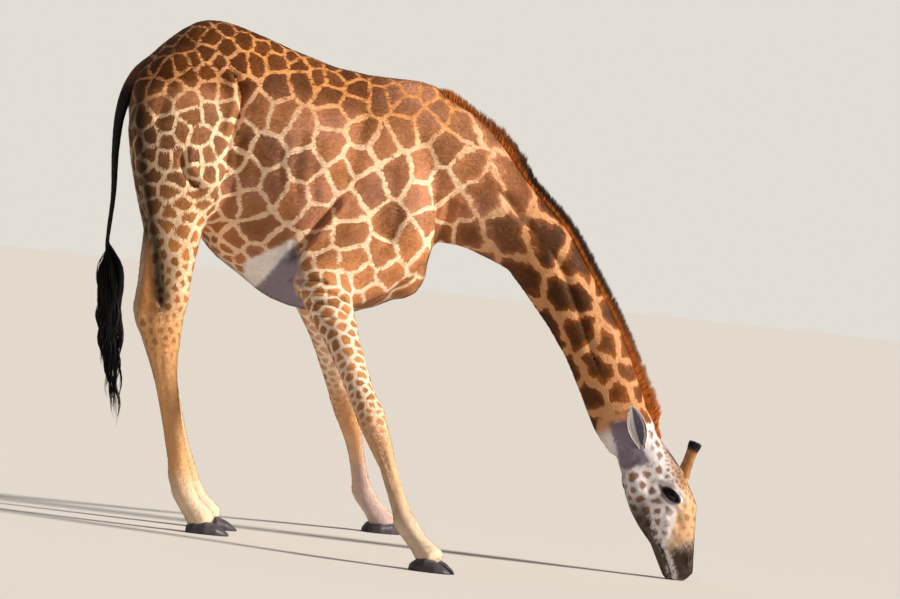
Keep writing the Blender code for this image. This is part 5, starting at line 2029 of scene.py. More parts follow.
@dataclass
class Mane:
    """The stiff crest from the withers to the poll."""

    locks: int = 7600
    lock_width: float = 0.0044
    rise: float = 0.058
    half_width: float = 0.013
    first_ring: int = 17
    sunk: float = 0.016
    seed: int = 21

    def crest(self) -> tuple[Array, Array]:
        """Points along the top of the neck, and the way up from each.

        Returns:
            The points and the directions.
        """
        rings = refine(neck_stations(), 6)
        centres = [Vector(s.at) for s in rings]
        points = [Vector((-0.150, 0.0, 2.140)), Vector((-0.085, 0.0, 2.128)), Vector((-0.020, 0.0, 2.108))]
        ups = [Vector((0.1, 0.0, 1.0)), Vector((0.16, 0.0, 1.0)), Vector((0.24, 0.0, 1.0))]
        for index in range(self.first_ring, len(rings) - 2):
            along = (centres[index + 1] - centres[index - 1]).normalized()
            up = Vector((-along.z, 0.0, along.x))
            points.append(centres[index] + up * (rings[index].deep - self.sunk))
            ups.append(up)
        points.append(in_head(-0.020, 0.070, 0.0))
        ups.append((HEAD_FACE * 0.8 - HEAD_DOWN * 0.6).normalized())
        points.append(in_head(0.020, 0.078, 0.0))
        ups.append((HEAD_FACE * 0.8 - HEAD_DOWN * 0.6).normalized())
        return np.array(points), unit(np.array(ups))

    def build(self, shift: Vector) -> bpy.types.Object:
        """Grows the mane's locks.

        Args:
            shift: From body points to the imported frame.

        Returns:
            The mane's object.
        """
        rng = np.random.default_rng(self.seed)
        points, ups = self.crest()
        steps = np.concatenate([[0.0], np.cumsum(np.linalg.norm(np.diff(points, axis=0), axis=1))])
        total = steps[-1]
        share = rng.uniform(0.0, 1.0, self.locks)
        at = np.stack([np.interp(share * total, steps, points[:, k]) for k in range(3)], axis=1)
        up = unit(np.stack([np.interp(share * total, steps, ups[:, k]) for k in range(3)], axis=1))
        ahead = unit(np.cross(up, (0.0, 1.0, 0.0)))
        ahead = ahead * np.sign(ahead[:, :1])
        off = rng.uniform(-1.0, 1.0, self.locks)
        fade = smooth(0.0, 0.10, share) * (1 - 0.45 * smooth(0.93, 1.0, share))
        clump = noise_at(at + off[:, None] * 0.01, 0.020, 1.0)
        tall = np.interp(share, (0.0, 0.10, 0.30, 0.36, 0.78, 0.93, 1.0),
                         (0.9, 1.25, 1.42, 1.02, 1.04, 1.36, 1.20))
        height = self.rise * tall * (0.40 + 0.60 * fade) * (1 - 0.30 * np.abs(off) ** 1.5)
        height = height * (1 + 0.10 * clump + rng.uniform(-0.10, 0.06, self.locks))
        rootward = at + np.array([0.0, 1.0, 0.0]) * (off * self.half_width)[:, None]
        lean = -0.34 + 0.16 * clump + rng.normal(0, 0.08, self.locks)
        sway = (off * 0.16 + rng.normal(0, 0.06, self.locks))[:, None] * np.array([0.0, 1.0, 0.0])
        rings = 5
        paths = np.zeros((self.locks, rings, 3))
        for ring in range(rings):
            t = ring / (rings - 1)
            rise = (height * t)[:, None] * up
            bend = ahead * (height * lean * t * t)[:, None]
            paths[:, ring] = rootward + rise + bend + sway * (height * t)[:, None]
        paths += np.array(shift)
        shades = rng.uniform(0, 1, self.locks)
        darkness = np.interp(share, (0.0, 0.10, 0.26, 0.34, 0.56, 0.68, 0.88, 1.0),
                             (0.44, 0.60, 0.84, 1.28, 1.22, 0.96, 0.70, 0.46))
        locks = []
        for index in range(self.locks):
            place = (0.02 + 0.96 * share[index], 0.5 + 0.45 * off[index])
            shade, dark = float(shades[index]), float(darkness[index])
            locks.append(Lock(paths[index], self.lock_width, shade, place, dark))
        return new_object("mane_hair", hair_mesh("mane_hair", locks))


@dataclass
class Tail:
    """The bare stalk with short hair, and the long black tuft."""

    locks: int = 700
    clumps: int = 28
    seed: int = 31
    stalk: tuple = (
        ((-1.356, 0.0, 2.135), 0.056, 0.040),
        ((-1.436, 0.0, 2.078), 0.041, 0.035),
        ((-1.488, 0.0, 1.986), 0.032, 0.028),
        ((-1.513, 0.0, 1.865), 0.0235, 0.0235),
        ((-1.515, -0.002, 1.705), 0.0175, 0.0185),
        ((-1.503, -0.004, 1.505), 0.0120, 0.0125),
        ((-1.508, -0.006, 1.297), 0.0090, 0.0095),
        ((-1.500, -0.006, 1.200), 0.0070, 0.0070),
    )

    def build_stalk(self, shift: Vector) -> bpy.types.Object:
        """Makes the stalk.

        Args:
            shift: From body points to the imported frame.

        Returns:
            The stalk's object.
        """
        bm = bmesh.new()
        stations = [Station(at, deep, wide) for at, deep, wide in self.stalk]
        add_loft(bm, stations, Vector((1.0, 0.0, 0.2)), sides=20, steps=10, dome=0.4)
        bmesh.ops.recalc_face_normals(bm, faces=bm.faces)
        mesh = mesh_of("tail_stalk", bm)
        points = points_of(mesh)
        normals = normals_of(mesh)
        rough = 0.0012 * noise_at(points, 0.018, 3.0)
        move_points(mesh, points + normals * rough[:, None] + np.array(shift))
        set_values(mesh, "root", points)
        set_values(mesh, "strand", np.tile((0.3, 0.5, 0.0), (len(points), 1)))
        return new_object("tail_stalk", mesh)

    def build_tuft(self, shift: Vector) -> bpy.types.Object:
        """Makes the long locks of the tuft.

        Args:
            shift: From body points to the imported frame.

        Returns:
            The tuft's object.
        """
        rng = np.random.default_rng(self.seed)
        centre = np.array(((-1.508, -0.006), (-1.500, -0.006), (-1.482, -0.006), (-1.466, -0.006),
                           (-1.445, -0.006), (-1.413, -0.006), (-1.383, -0.006), (-1.363, -0.006)))
        drops = np.array((0.000, 0.050, 0.130, 0.300, 0.480, 0.660, 0.800, 0.885))
        reach = np.array((0.010, 0.048, 0.062, 0.066, 0.058, 0.044, 0.026, 0.010))
        rings = 22
        share = np.linspace(0.0, 1.0, rings)
        locks = []
        for clump in range(self.clumps):
            clump_angle = 2.4 * clump
            clump_out = math.sqrt((clump + 0.5) / self.clumps)
            clump_start = rng.uniform(-0.020, 0.10)
            clump_long = rng.uniform(0.45, 0.97) if clump % 3 else rng.uniform(0.90, 0.985)
            waves, phase = rng.uniform(3.0, 4.6), rng.uniform(0, 2 * math.pi)
            swing = rng.uniform(0.006, 0.013)
            for _ in range(self.locks // self.clumps):
                start = clump_start + rng.uniform(-0.025, 0.025)
                long = clump_long * rng.uniform(0.80, 1.0)
                drop = np.clip(start + share * (0.885 * long - start), -0.05, 0.883)
                x = np.interp(drop, drops, centre[:, 0])
                y = np.interp(drop, drops, centre[:, 1])
                loose = rng.uniform(0.15, 1.0)
                angle = rng.uniform(0, 2 * math.pi)
                spread = np.interp(drop, drops, reach) * smooth(0.0, 0.22, share)
                gather = 0.30 * loose * (1 - 0.65 * share)
                turn = share * waves * 2 * math.pi * long + phase + 0.5 * loose
                wave = swing * smooth(0.10, 0.60, share)
                x = x + spread * (0.80 * clump_out * math.cos(clump_angle) + gather * math.cos(angle))
                y = y + 0.8 * spread * (0.80 * clump_out * math.sin(clump_angle) + gather * math.sin(angle))
                x = x + wave * np.sin(turn)
                y = y + 0.7 * wave * np.cos(turn)
                path = np.stack([x, y, TUFT_TOP - drop], axis=1) + np.array(shift)
                place = (0.03 + 0.94 * angle / (2 * math.pi), 0.05 + 0.9 * clump_out)
                locks.append(Lock(path, rng.uniform(0.0036, 0.0078), rng.uniform(), place))
        return new_object("tail_hair", hair_mesh("tail_hair", locks))


# Ears, ossicones, eyes and hooves ----------------------------------------------------------------
@dataclass
class Ear:
    """A leaf-shaped cup with a fringe of hair round its edge."""

    side: Side
    thickness: float = 0.0052
    rings: int = 26
    arc: int = 22
    hairs: int = 2600
    hair_width: float = 0.0021

    def frame(self) -> tuple[Vector, Vector, Vector, Vector]:
        """Root, and the ways to the tip, out of the opening and across.

        Returns:
            The root and three directions.
        """
        along, face, out = EAR_AT
        sign = self.side.value
        root = in_head(along, face, out * sign)
        way = (-HEAD_DOWN * 0.95 + Vector((0.0, 0.30 * sign, 0.0))).normalized()
        opening = Vector((-0.25, 0.95 * sign, 0.1))
        opening = (opening - way * opening.dot(way)).normalized()
        return root, way, opening, way.cross(opening).normalized()

    def outline(self, share: float) -> float:
        """Half the ear's width at a share of its length, as a share of the greatest.

        Args:
            share: The place from root to tip, from 0 to 1.

        Returns:
            The share.
        """
        shares = (-0.06, 0.08, 0.25, 0.45, 0.65, 0.85, 0.97)
        spreads = (0.26, 0.46, 0.82, 1.00, 0.88, 0.52, 0.12)
        return float(np.interp(share, shares, spreads))

    def build(self, shift: Vector) -> bpy.types.Object:
        """Makes the ear's shell.

        Args:
            shift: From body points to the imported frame.

        Returns:
            The ear's object.
        """
        root, way, opening, across = self.frame()
        root = root + shift
        loops = []
        rims = []
        bm = bmesh.new()
        for ring in range(self.rings + 1):
            share = -0.06 + 1.03 * ring / self.rings
            soft = (self.outline(share - 0.03) + self.outline(share) + self.outline(share + 0.03)) / 3
            half = (EAR_WIDTH / 2 - 0.002) * soft
            cup = half * (0.95 - 0.35 * share)
            centre = root + way * (EAR_LENGTH * share)
            loop = []
            rim = []
            for step in range(self.arc):
                angle = math.pi * (step / (self.arc - 1) - 0.5)
                roll = 1 - 0.10 * math.cos(angle)
                loop.append(centre + across * (half * math.sin(angle))
                            - opening * (cup * math.cos(angle) * roll))
                rim.append((0.0, 0.0))
            for step in range(self.arc):
                angle = math.pi * (0.5 - step / (self.arc - 1))
                inner = max(half - self.thickness * 0.7, 0.3 * half)
                depth = max(cup - self.thickness, 0.35 * cup)
                ridge = 0.05 * half * math.cos(5 * angle)
                loop.append(centre + across * (inner * math.sin(angle))
                            - opening * (depth * math.cos(angle) + ridge - 0.001))
                rim.append((0.5 - 0.5 * self.side.value * math.sin(angle), 1.0))
            loops.append([bm.verts.new(p) for p in loop])
            rims += [(place, share, inner_face) for place, inner_face in rim]
        join_rings(bm, loops)
        bmesh.ops.recalc_face_normals(bm, faces=bm.faces)
        bmesh.ops.triangulate(bm, faces=bm.faces)
        name = f"ear_shell_{self.side.label}"
        mesh = mesh_of(name, bm)
        set_values(mesh, "strand", np.array(rims))
        set_values(mesh, "root", points_of(mesh))
        return new_object(name, mesh)

    def build_hair(self, shift: Vector, seed: int) -> bpy.types.Object:
        """Makes the fringe along the rim and the pale hair inside.

        Args:
            shift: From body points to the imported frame.
            seed: The seed of chance.

        Returns:
            The hair's object.
        """
        rng = np.random.default_rng(seed)
        root, way, opening, across = self.frame()
        root = root + shift
        locks = []
        for _ in range(self.hairs):
            share = rng.uniform(0.02, 0.97)
            half = (EAR_WIDTH / 2 - 0.003) * self.outline(share)
            cup = half * (0.95 - 0.35 * share)
            inside = rng.uniform() < 0.30
            outer = rng.uniform() < 0.55
            edge = rng.choice((-1.0, 1.0))
            angle = math.pi / 2 * edge * (rng.uniform(0.55, 0.96) if inside else rng.uniform(0.88, 1.0))
            if outer and not inside:
                angle = math.pi / 2 * rng.uniform(-1.0, 1.0)
            skin = 1.0 if not inside else 0.86
            at = root + way * (EAR_LENGTH * share)
            at = at + across * (half * skin * math.sin(angle)) - opening * (cup * skin * math.cos(angle))
            outward = across * math.sin(angle) - opening * math.cos(angle)
            length = rng.uniform(0.008, 0.014)
            if inside:
                grow = way * 0.75 + opening * 0.35 - outward * 0.25
                length *= 1.25
            elif outer:
                grow = way * 0.97 + outward * 0.16
            else:
                grow = way * 0.85 + opening * 0.25 + outward * 0.12
            path = [np.array(at + grow.normalized() * (length * t) - opening * 0.0005)
                    for t in (0.0, 0.5, 1.0)]
            shade = 1.0 if inside or not outer else 0.0
            place = (0.05 + 0.9 * (0.5 + math.sin(angle) * 0.45), 0.05 + 0.9 * share)
            locks.append(Lock(np.array(path), self.hair_width, shade, place))
        name = f"ear_hair_{self.side.label}"
        return new_object(name, hair_mesh(name, locks))


@dataclass
class Ossicone:
    """A skin-covered horn with a black tuft round its end."""

    side: Side
    hairs: int = 2300

    def axis(self) -> tuple[Vector, Vector]:
        """Root and direction of the horn.

        Returns:
            The root and the direction.
        """
        along, face, out = OSSICONE_AT
        sign = self.side.value
        root = in_head(along, face, out * sign)
        way = HEAD_FACE * math.sin(OSSICONE_LEAN) - HEAD_DOWN * math.cos(OSSICONE_LEAN)
        return root, (way + Vector((0.0, 0.06 * sign, 0.0))).normalized()

    def size(self, share: float) -> float:
        """The horn's radius at a share of its length.

        Args:
            share: The place from root to tip, from 0 to 1.

        Returns:
            The radius.
        """
        shares = (-0.10, 0.10, 0.28, 0.45, 0.75, 0.92, 1.0)
        swells = (1.42, 1.28, 1.04, 0.92, 0.95, 1.10, 0.93)
        return (OSSICONE_RADIUS - 0.0028) * float(np.interp(share, shares, swells))

    def build(self, shift: Vector) -> bpy.types.Object:
        """Makes the horn's core.

        Args:
            shift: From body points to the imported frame.

        Returns:
            The horn's object.
        """
        root, way = self.axis()
        stations = []
        for share in (-0.10, 0.0, 0.15, 0.30, 0.45, 0.60, 0.75, 0.84, 0.92, 0.98):
            size = self.size(share)
            stations.append(Station(root + way * (OSSICONE_LENGTH * share), size, size))
        bm = bmesh.new()
        add_loft(bm, stations, HEAD_FACE, sides=28, steps=4, dome=0.6)
        bmesh.ops.recalc_face_normals(bm, faces=bm.faces)
        name = f"ossicone_core_{self.side.label}"
        mesh = mesh_of(name, bm)
        points = points_of(mesh)
        share = (points - np.array(root)) @ np.array(way) / OSSICONE_LENGTH
        rough = 0.0012 * noise_at(points, 0.014, 6.0)
        points = points + normals_of(mesh) * rough[:, None]
        set_values(mesh, "root", points)
        set_values(mesh, "strand", np.stack([share, 0.5 + 0 * share, 0 * share], axis=1))
        move_points(mesh, points + np.array(shift))
        return new_object(name, mesh)

    def build_hair(self, shift: Vector, seed: int) -> bpy.types.Object:
        """Makes the short fur up the horn and the black tuft at its end.

        Args:
            shift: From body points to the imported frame.
            seed: The seed of chance.

        Returns:
            The hair's object.
        """
        rng = np.random.default_rng(seed)
        root, way = self.axis()
        across = way.cross(Vector((0.0, 1.0, 0.0))).normalized()
        other = way.cross(across).normalized()
        locks = []
        for index in range(self.hairs):
            share = rng.uniform(0.0, 0.98)
            if index % 3 == 0:
                share = rng.uniform(0.80, 1.0)
            angle = rng.uniform(0, 2 * math.pi)
            out = across * math.cos(angle) + other * math.sin(angle)
            size = self.size(share)
            on_top = share > 0.985 or rng.uniform() < 0.10 * (share > 0.8)
            at = root + way * (OSSICONE_LENGTH * share) + out * (size * (0.6 if on_top else 0.99))
            dark = float(np.clip((share - 0.74) / 0.08, 0.0, 1.0))
            length = 0.007 + 0.009 * dark * rng.uniform(0.5, 1.0)
            grow = (way * 0.93 + out * (0.10 + 0.10 * dark)).normalized()
            path = [np.array(at + grow * (length * t) + out * (0.0012 * t) + shift) for t in (0.0, 0.5, 1.0)]
            place = (0.05 + 0.9 * angle / (2 * math.pi), 0.05 + 0.9 * share)
            shade = float(np.clip(share + rng.normal(0, 0.02), 0.0, 1.0))
            locks.append(Lock(np.array(path), 0.0022 + 0.0005 * dark, shade, place))
        name = f"ossicone_hair_{self.side.label}"
        return new_object(name, hair_mesh(name, locks))


@dataclass
class Eye:
    """A dark eyeball with a clear bulge, and the lashes of the upper lid."""

    side: Side
    lashes: int = 150
    lash_length: float = 0.031
    lash_width: float = 0.0015
    gap: float = 0.0006

    def build(self, shift: Vector) -> bpy.types.Object:
        """Makes the eyeball.

        Args:
            shift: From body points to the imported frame.

        Returns:
            The eyeball's object.
        """
        sign = self.side.value
        centre = in_head(EYE_AT[0], EYE_AT[1], EYE_AT[2] * sign)
        bm = bmesh.new()
        bmesh.ops.create_uvsphere(bm, u_segments=48, v_segments=32, radius=EYE_RADIUS - self.gap)
        sort_faces(bm)
        for vertex in bm.verts:
            front = max(0.0, vertex.co.y * sign / EYE_RADIUS - 0.72) / 0.28
            vertex.co *= 1.0 + 0.018 * front * front
        name = f"eyeball_{self.side.label}"
        mesh = mesh_of(name, bm)
        points = points_of(mesh)
        set_values(mesh, "root", points * np.array([1.0, sign, 1.0]) / EYE_RADIUS)
        move_points(mesh, points + np.array(centre + shift))
        return new_object(name, mesh)

    def build_lashes(self, shift: Vector, seed: int) -> bpy.types.Object:
        """Makes the lashes, rooted along the upper lid's edge.

        Args:
            shift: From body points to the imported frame.
            seed: The seed of chance.

        Returns:
            The lashes' object.
        """
        rng = np.random.default_rng(seed)
        sign = self.side.value
        centre = in_head(EYE_AT[0], EYE_AT[1], EYE_AT[2] * sign)
        length_way = HEAD_DOWN * math.cos(LIDS_TILT) + HEAD_FACE * math.sin(LIDS_TILT)
        height_way = HEAD_FACE * math.cos(LIDS_TILT) - HEAD_DOWN * math.sin(LIDS_TILT)
        out = Vector((0.0, sign, 0.0))
        locks = []
        for index in range(self.lashes):
            t = -0.95 + 1.90 * (index + rng.uniform()) / self.lashes
            a = t * LIDS_LONG
            b = LIDS_UP * math.sqrt(max(0.0, 1 - t * t)) + 0.0006
            c = math.sqrt(max(EYE_RADIUS**2 - a * a - b * b, 1e-6)) + 0.0030
            at = centre + length_way * a + height_way * b + out * c
            size = self.lash_length * (0.65 + 0.35 * (1 - t * t)) * rng.uniform(0.8, 1.1)
            grow = (out * 0.70 - height_way * 0.62 + length_way * (0.34 * t + 0.14)).normalized()
            path = []
            for k in range(5):
                s = k / 4
                path.append(np.array(at + grow * (size * s) + height_way * (0.30 * size * s * s) + shift))
            place = (0.05 + 0.9 * index / self.lashes, 0.5)
            locks.append(Lock(np.array(path), self.lash_width, 0.0, place))
        name = f"lashes_{self.side.label}"
        return new_object(name, hair_mesh(name, locks))


@dataclass
class Claw:
    """One half of a cloven hoof."""

    name: str
    at: tuple
    heading: float
    inner: float
    rings: int = 40
    arc: int = 14
    round_over: float = 0.0015

    PROFILE = (
        (0.00, 0.55, 0.46),
        (0.16, 0.90, 0.72),
        (0.45, 1.00, 0.90),
        (0.72, 0.84, 0.62),
        (0.90, 0.54, 0.34),
        (1.00, 0.22, 0.14),
    )

    def build(self, shift: Vector) -> bpy.types.Object:
        """Makes the claw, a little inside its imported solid, with its sole on the floor.

        Args:
            shift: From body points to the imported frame.

        Returns:
            The claw's object.
        """
        profile = np.array(self.PROFILE)
        bm = bmesh.new()
        loops = []
        shares = []
        for ring in range(self.rings + 1):
            share = ring / self.rings
            spread = float(np.interp(share, profile[:, 0], profile[:, 1]))
            rise = float(np.interp(share, profile[:, 0], profile[:, 2]))
            x = (share - 0.5) * (CLAW_LENGTH - 2 * self.round_over)
            wide = CLAW_WIDTH * spread - self.round_over
            high = CLAW_HEIGHT * rise - self.round_over
            start = self.inner * (CLAW_CLEFT / 2 + 0.05 * CLAW_LENGTH * share * share + self.round_over / 2)
            loop = [Vector((x, start, 0.0)), Vector((x, start, high * 0.45)), Vector((x, start, high * 0.86))]
            for step in range(self.arc + 1):
                angle = math.pi / 2 * (1 - step / self.arc)
                y = start + self.inner * (wide * (0.30 + 0.70 * math.cos(angle)))
                z = high * (0.30 + 0.70 * math.sin(angle)) if step < self.arc else 0.004
                loop.append(Vector((x, y, z)))
            loop.append(Vector((x, start + self.inner * (wide - 0.004), 0.0)))
            loops.append([bm.verts.new(p) for p in loop])
            shares += [share] * len(loop)
        join_rings(bm, loops)
        bmesh.ops.recalc_face_normals(bm, faces=bm.faces)
        mesh = mesh_of(self.name, bm)
        points = points_of(mesh)
        normals = normals_of(mesh)
        ring_wave = np.sin((points[:, 2] * 1.0 + points[:, 0] * 0.35) * 2 * math.pi / 0.011)
        swell = 0.0005 * ring_wave * smooth(0.004, 0.012, points[:, 2]) - 0.0004
        points = points + normals * swell[:, None] * (points[:, 2] > 0.003)[:, None]
        strand = np.stack([np.array(shares), points[:, 2] / CLAW_HEIGHT, 0 * points[:, 2]], axis=1)
        set_values(mesh, "strand", strand)
        set_values(mesh, "root", points.copy())
        turn = np.array(Matrix.Rotation(self.heading, 3, "Z"))
        points = points @ turn.T + np.array((self.at[0], self.at[1], 0.0)) + np.array(shift)
        move_points(mesh, points)
        obj = new_object(self.name, mesh)
        mesh.set_sharp_from_angle(angle=math.radians(50.0))
        return obj


def all_claws() -> list[Claw]:
    """The eight claws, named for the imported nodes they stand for.

    Returns:
        The claws.
    """
    made = []
    for side in Side:
        sign = side.value
        step = FAR_HIND_STEP if side is Side.LEFT else 0.0
        feet = (
            ("fore", FORE_HOOF_AT, FORE_HOOF_HEADING, 0.0),
            ("hind", HIND_HOOF_AT, HIND_HOOF_HEADING, step),
        )
        for foot, (x, y), heading, ahead in feet:
            for place, inner in (("outer", sign), ("inner", -sign)):
                name = f"hoof_{foot}_{side.label}_{place}"
                made.append(Claw(name, (x + ahead, -y * sign), -heading * sign, inner))
    return made


# Finishes --------------------------------------------------------------------------------------
def feed(tree: bpy.types.NodeTree, socket: Socket, value: Value) -> None:
    """Links a socket to a source, or sets it to a plain value.

    Args:
        tree: The tree that the socket is in.
        socket: The input.
        value: A socket or a plain value.
    """
    if isinstance(value, Socket):
        tree.links.new(value, socket)
    else:
        socket.default_value = value


class Group:
    """A shader node group being built, with short ways to add nodes and links."""

    def __init__(self, name: str) -> None:
        """Starts an empty group.

        Args:
            name: The group's name.
        """
        self.tree = bpy.data.node_groups.new(name, "ShaderNodeTree")
        self.inside = self.tree.nodes.new("NodeGroupInput")
        self.outside = self.tree.nodes.new("NodeGroupOutput")

    def take(self, name: str, kind: str, value: float | tuple | None = None) -> Socket:
        """Adds an input.

        Args:
            name: The input's name.
            kind: The socket's type.
            value: Its value when nothing is linked.

        Returns:
            The input's socket inside the group.
        """
        socket = self.tree.interface.new_socket(name=name, in_out="INPUT", socket_type=kind)
        if value is not None:
            socket.default_value = value
        return self.inside.outputs[name]

    def give(self, name: str, kind: str, source: Socket) -> None:
        """Adds an output fed by a socket."""
        self.tree.interface.new_socket(name=name, in_out="OUTPUT", socket_type=kind)
        self.tree.links.new(source, self.outside.inputs[name])

    def node(self, kind: str, **settings: object) -> bpy.types.Node:
        """Adds a node with the given settings.

        Args:
            kind: The node's type.
            settings: The node's properties.

        Returns:
            The node.
        """
        made = self.tree.nodes.new(kind)
        for name, value in settings.items():
            setattr(made, name, value)
        return made

    def feed(self, socket: Socket, value: Value) -> None:
        """Links a socket to a source in this group, or sets it to a plain value."""
        feed(self.tree, socket, value)

    def math(self, operation: str, one: Value, two: Value = 0.0, clamp: bool = False) -> Socket:
        """A Math node's result.

        Args:
            operation: The node's operation.
            one: Its first value.
            two: Its second value.
            clamp: Whether the result stays within 0 and 1.

        Returns:
            The result's socket.
        """
        made = self.node("ShaderNodeMath", operation=operation, use_clamp=clamp)
        self.feed(made.inputs[0], one)
        self.feed(made.inputs[1], two)
        return made.outputs[0]

    def swing(self, value: Value, amount: Value) -> Socket:
        """How far a value from 0 to 1 is off its middle, by an amount."""
        return self.math("MULTIPLY", self.math("SUBTRACT", value, 0.5), amount)

    def ramp(self, value: Value, low: Value, high: Value, out_low: float = 0.0,
             out_high: float = 1.0) -> Socket:
        """A smooth step from out_low at low to out_high at high.

        Args:
            value: The value.
            low: Where the step starts.
            high: Where it ends.
            out_low: The result before it.
            out_high: The result after it.

        Returns:
            The result's socket.
        """
        made = self.node("ShaderNodeMapRange", interpolation_type="SMOOTHSTEP")
        self.feed(made.inputs["Value"], value)
        self.feed(made.inputs["From Min"], low)
        self.feed(made.inputs["From Max"], high)
        self.feed(made.inputs["To Min"], out_low)
        self.feed(made.inputs["To Max"], out_high)
        return made.outputs["Result"]

    def mix(self, share: Value, one: Value, two: Value) -> Socket:
        """Two colours mixed by a share.

        Args:
            share: How much of the second colour.
            one: The first colour.
            two: The second colour.

        Returns:
            The colour's socket.
        """
        made = self.node("ShaderNodeMix", data_type="RGBA")
        self.feed(made.inputs[0], share)
        self.feed(made.inputs[6], one)
        self.feed(made.inputs[7], two)
        return made.outputs[2]

    def scaled(self, colour: Value, factor: Value) -> Socket:
        """A colour made lighter or darker by a factor.

        Args:
            colour: The colour.
            factor: The factor.

        Returns:
            The colour's socket.
        """
        made = self.node("ShaderNodeVectorMath", operation="SCALE")
        self.feed(made.inputs[0], colour)
        self.feed(made.inputs["Scale"], factor)
        return made.outputs[0]

    def noise(self, vector: Value, scale: Value, detail: float = 3.0, roughness: float = 0.5) -> Socket:
        """A noise texture's value.

        Args:
            vector: Where it is read.
            scale: Its scale.
            detail: Its detail.
            roughness: Its roughness.

        Returns:
            The value's socket.
        """
        made = self.node("ShaderNodeTexNoise")
        self.feed(made.inputs["Vector"], vector)
        self.feed(made.inputs["Scale"], scale)
        made.inputs["Detail"].default_value = detail
        made.inputs["Roughness"].default_value = roughness
        return made.outputs[0]


def coat_group() -> bpy.types.NodeTree:
    """Colour of skin and short fur from the values stored at its points.

    Returns:
        The group.
    """
    g = Group("coat_markings")
    root = g.take("Root", "NodeSocketVector")
    marks = g.take("Marks", "NodeSocketVector")
    ground = g.take("Ground", "NodeSocketVector")
    patch = g.take("Patch", "NodeSocketVector")
    strand = g.take("Strand", "NodeSocketVector")
    edge = g.take("Edge Softness", "NodeSocketFloat", 0.16)
    parts = g.node("ShaderNodeSeparateXYZ")
    g.feed(parts.inputs[0], marks)
    depth, tone, shows = parts.outputs
    along = g.node("ShaderNodeSeparateXYZ")
    g.feed(along.inputs[0], strand)
    big = g.ramp(along.outputs[2], 0.06, 0.11)
    fray = g.swing(g.noise(root, 170.0, 2.0, 0.6), 0.50)
    jag = g.swing(g.noise(root, 52.0, 3.0, 0.6), 0.95)
    jag = g.math("MULTIPLY", jag, g.math("ADD", g.math("MULTIPLY", big, 0.75), 0.25))
    frayed = g.math("ADD", depth, g.math("ADD", fray, jag))
    inside = g.ramp(frayed, g.math("MULTIPLY", edge, -1.0), edge)
    inside = g.math("MULTIPLY", inside, shows)
    cloud = g.noise(root, 9.0, 3.0, 0.6)
    streak = g.noise(root, 75.0, 3.0, 0.65)
    centre = g.ramp(depth, 0.6, 4.2)
    light = g.math("ADD", g.math("MULTIPLY", tone, 0.50), 0.79)
    light = g.math("SUBTRACT", light, g.math("MULTIPLY", centre, 0.14))
    light = g.math("ADD", light, g.swing(cloud, 0.75))
    light = g.math("ADD", light, g.swing(streak, 0.30))
    patch_colour = g.scaled(patch, light)
    pale = g.math("ADD", g.swing(cloud, 0.30), 1.0)
    pale = g.math("ADD", pale, g.swing(streak, 0.25))
    ground_colour = g.scaled(ground, pale)
    colour = g.mix(inside, ground_colour, patch_colour)
    tip = g.math("MULTIPLY", along.outputs[0], 0.10)
    each = g.swing(along.outputs[1], 0.13)
    lift = g.math("ADD", g.math("ADD", 0.97, tip), each)
    g.give("Color", "NodeSocketColor", g.scaled(colour, lift))
    g.give("Patch Mask", "NodeSocketFloat", inside)
    return g.tree


def grain_group() -> bpy.types.NodeTree:
    """Fine grain for bump and roughness.

    Returns:
        The group.
    """
    g = Group("fine_grain")
    vector = g.take("Vector", "NodeSocketVector")
    scale = g.take("Scale", "NodeSocketFloat", 300.0)
    base = g.take("Roughness", "NodeSocketFloat", 0.6)
    vary = g.take("Variation", "NodeSocketFloat", 0.1)
    fine = g.noise(vector, scale, 3.0, 0.6)
    broad = g.noise(vector, g.math("MULTIPLY", scale, 0.18), 2.0, 0.5)
    height = g.math("ADD", g.math("MULTIPLY", fine, 0.6), g.math("MULTIPLY", broad, 0.4))
    rough = g.math("ADD", base, g.swing(broad, vary), clamp=True)
    g.give("Height", "NodeSocketFloat", height)
    g.give("Roughness", "NodeSocketFloat", rough)
    return g.tree


def blend_group() -> bpy.types.NodeTree:
    """One colour passing into another along a value, broken up by noise.

    Returns:
        The group.
    """
    g = Group("two_tone")
    vector = g.take("Vector", "NodeSocketVector")
    value = g.take("Value", "NodeSocketFloat", 0.0)
    low = g.take("Low", "NodeSocketFloat", 0.0)
    high = g.take("High", "NodeSocketFloat", 1.0)
    first = g.take("First", "NodeSocketColor", (0.5, 0.5, 0.5, 1.0))
    second = g.take("Second", "NodeSocketColor", (0.1, 0.1, 0.1, 1.0))
    scale = g.take("Scale", "NodeSocketFloat", 60.0)
    ragged = g.take("Ragged", "NodeSocketFloat", 0.2)
    each = g.take("Each", "NodeSocketFloat", 0.5)
    vary = g.take("Each Amount", "NodeSocketFloat", 0.0)
    broken = g.math("SUBTRACT", g.noise(vector, scale, 3.0, 0.6), 0.5)
    moved = g.math("ADD", value, g.math("MULTIPLY", broken, ragged))
    colour = g.mix(g.ramp(moved, low, high), first, second)
    shade = g.math("ADD", 1.0, g.math("MULTIPLY", broken, 0.7))
    shade = g.math("ADD", shade, g.swing(each, vary))
    g.give("Color", "NodeSocketColor", g.scaled(colour, shade))
    return g.tree


class Along(Enum):
    """What a finish passes along: the stored value and the number of its part."""

    STRAND = ("strand", 0)
    ACROSS = ("strand", 1)
    HEIGHT = ("root", 2)


@dataclass(frozen=True)
class HairFinish:
    """Two colours, where one passes into the other, and how rough and ragged they are."""

    first: tuple
    second: tuple
    low: float
    high: float
    by: Along
    scale: float
    ragged: float
    roughness: float
    each: float = 0.0


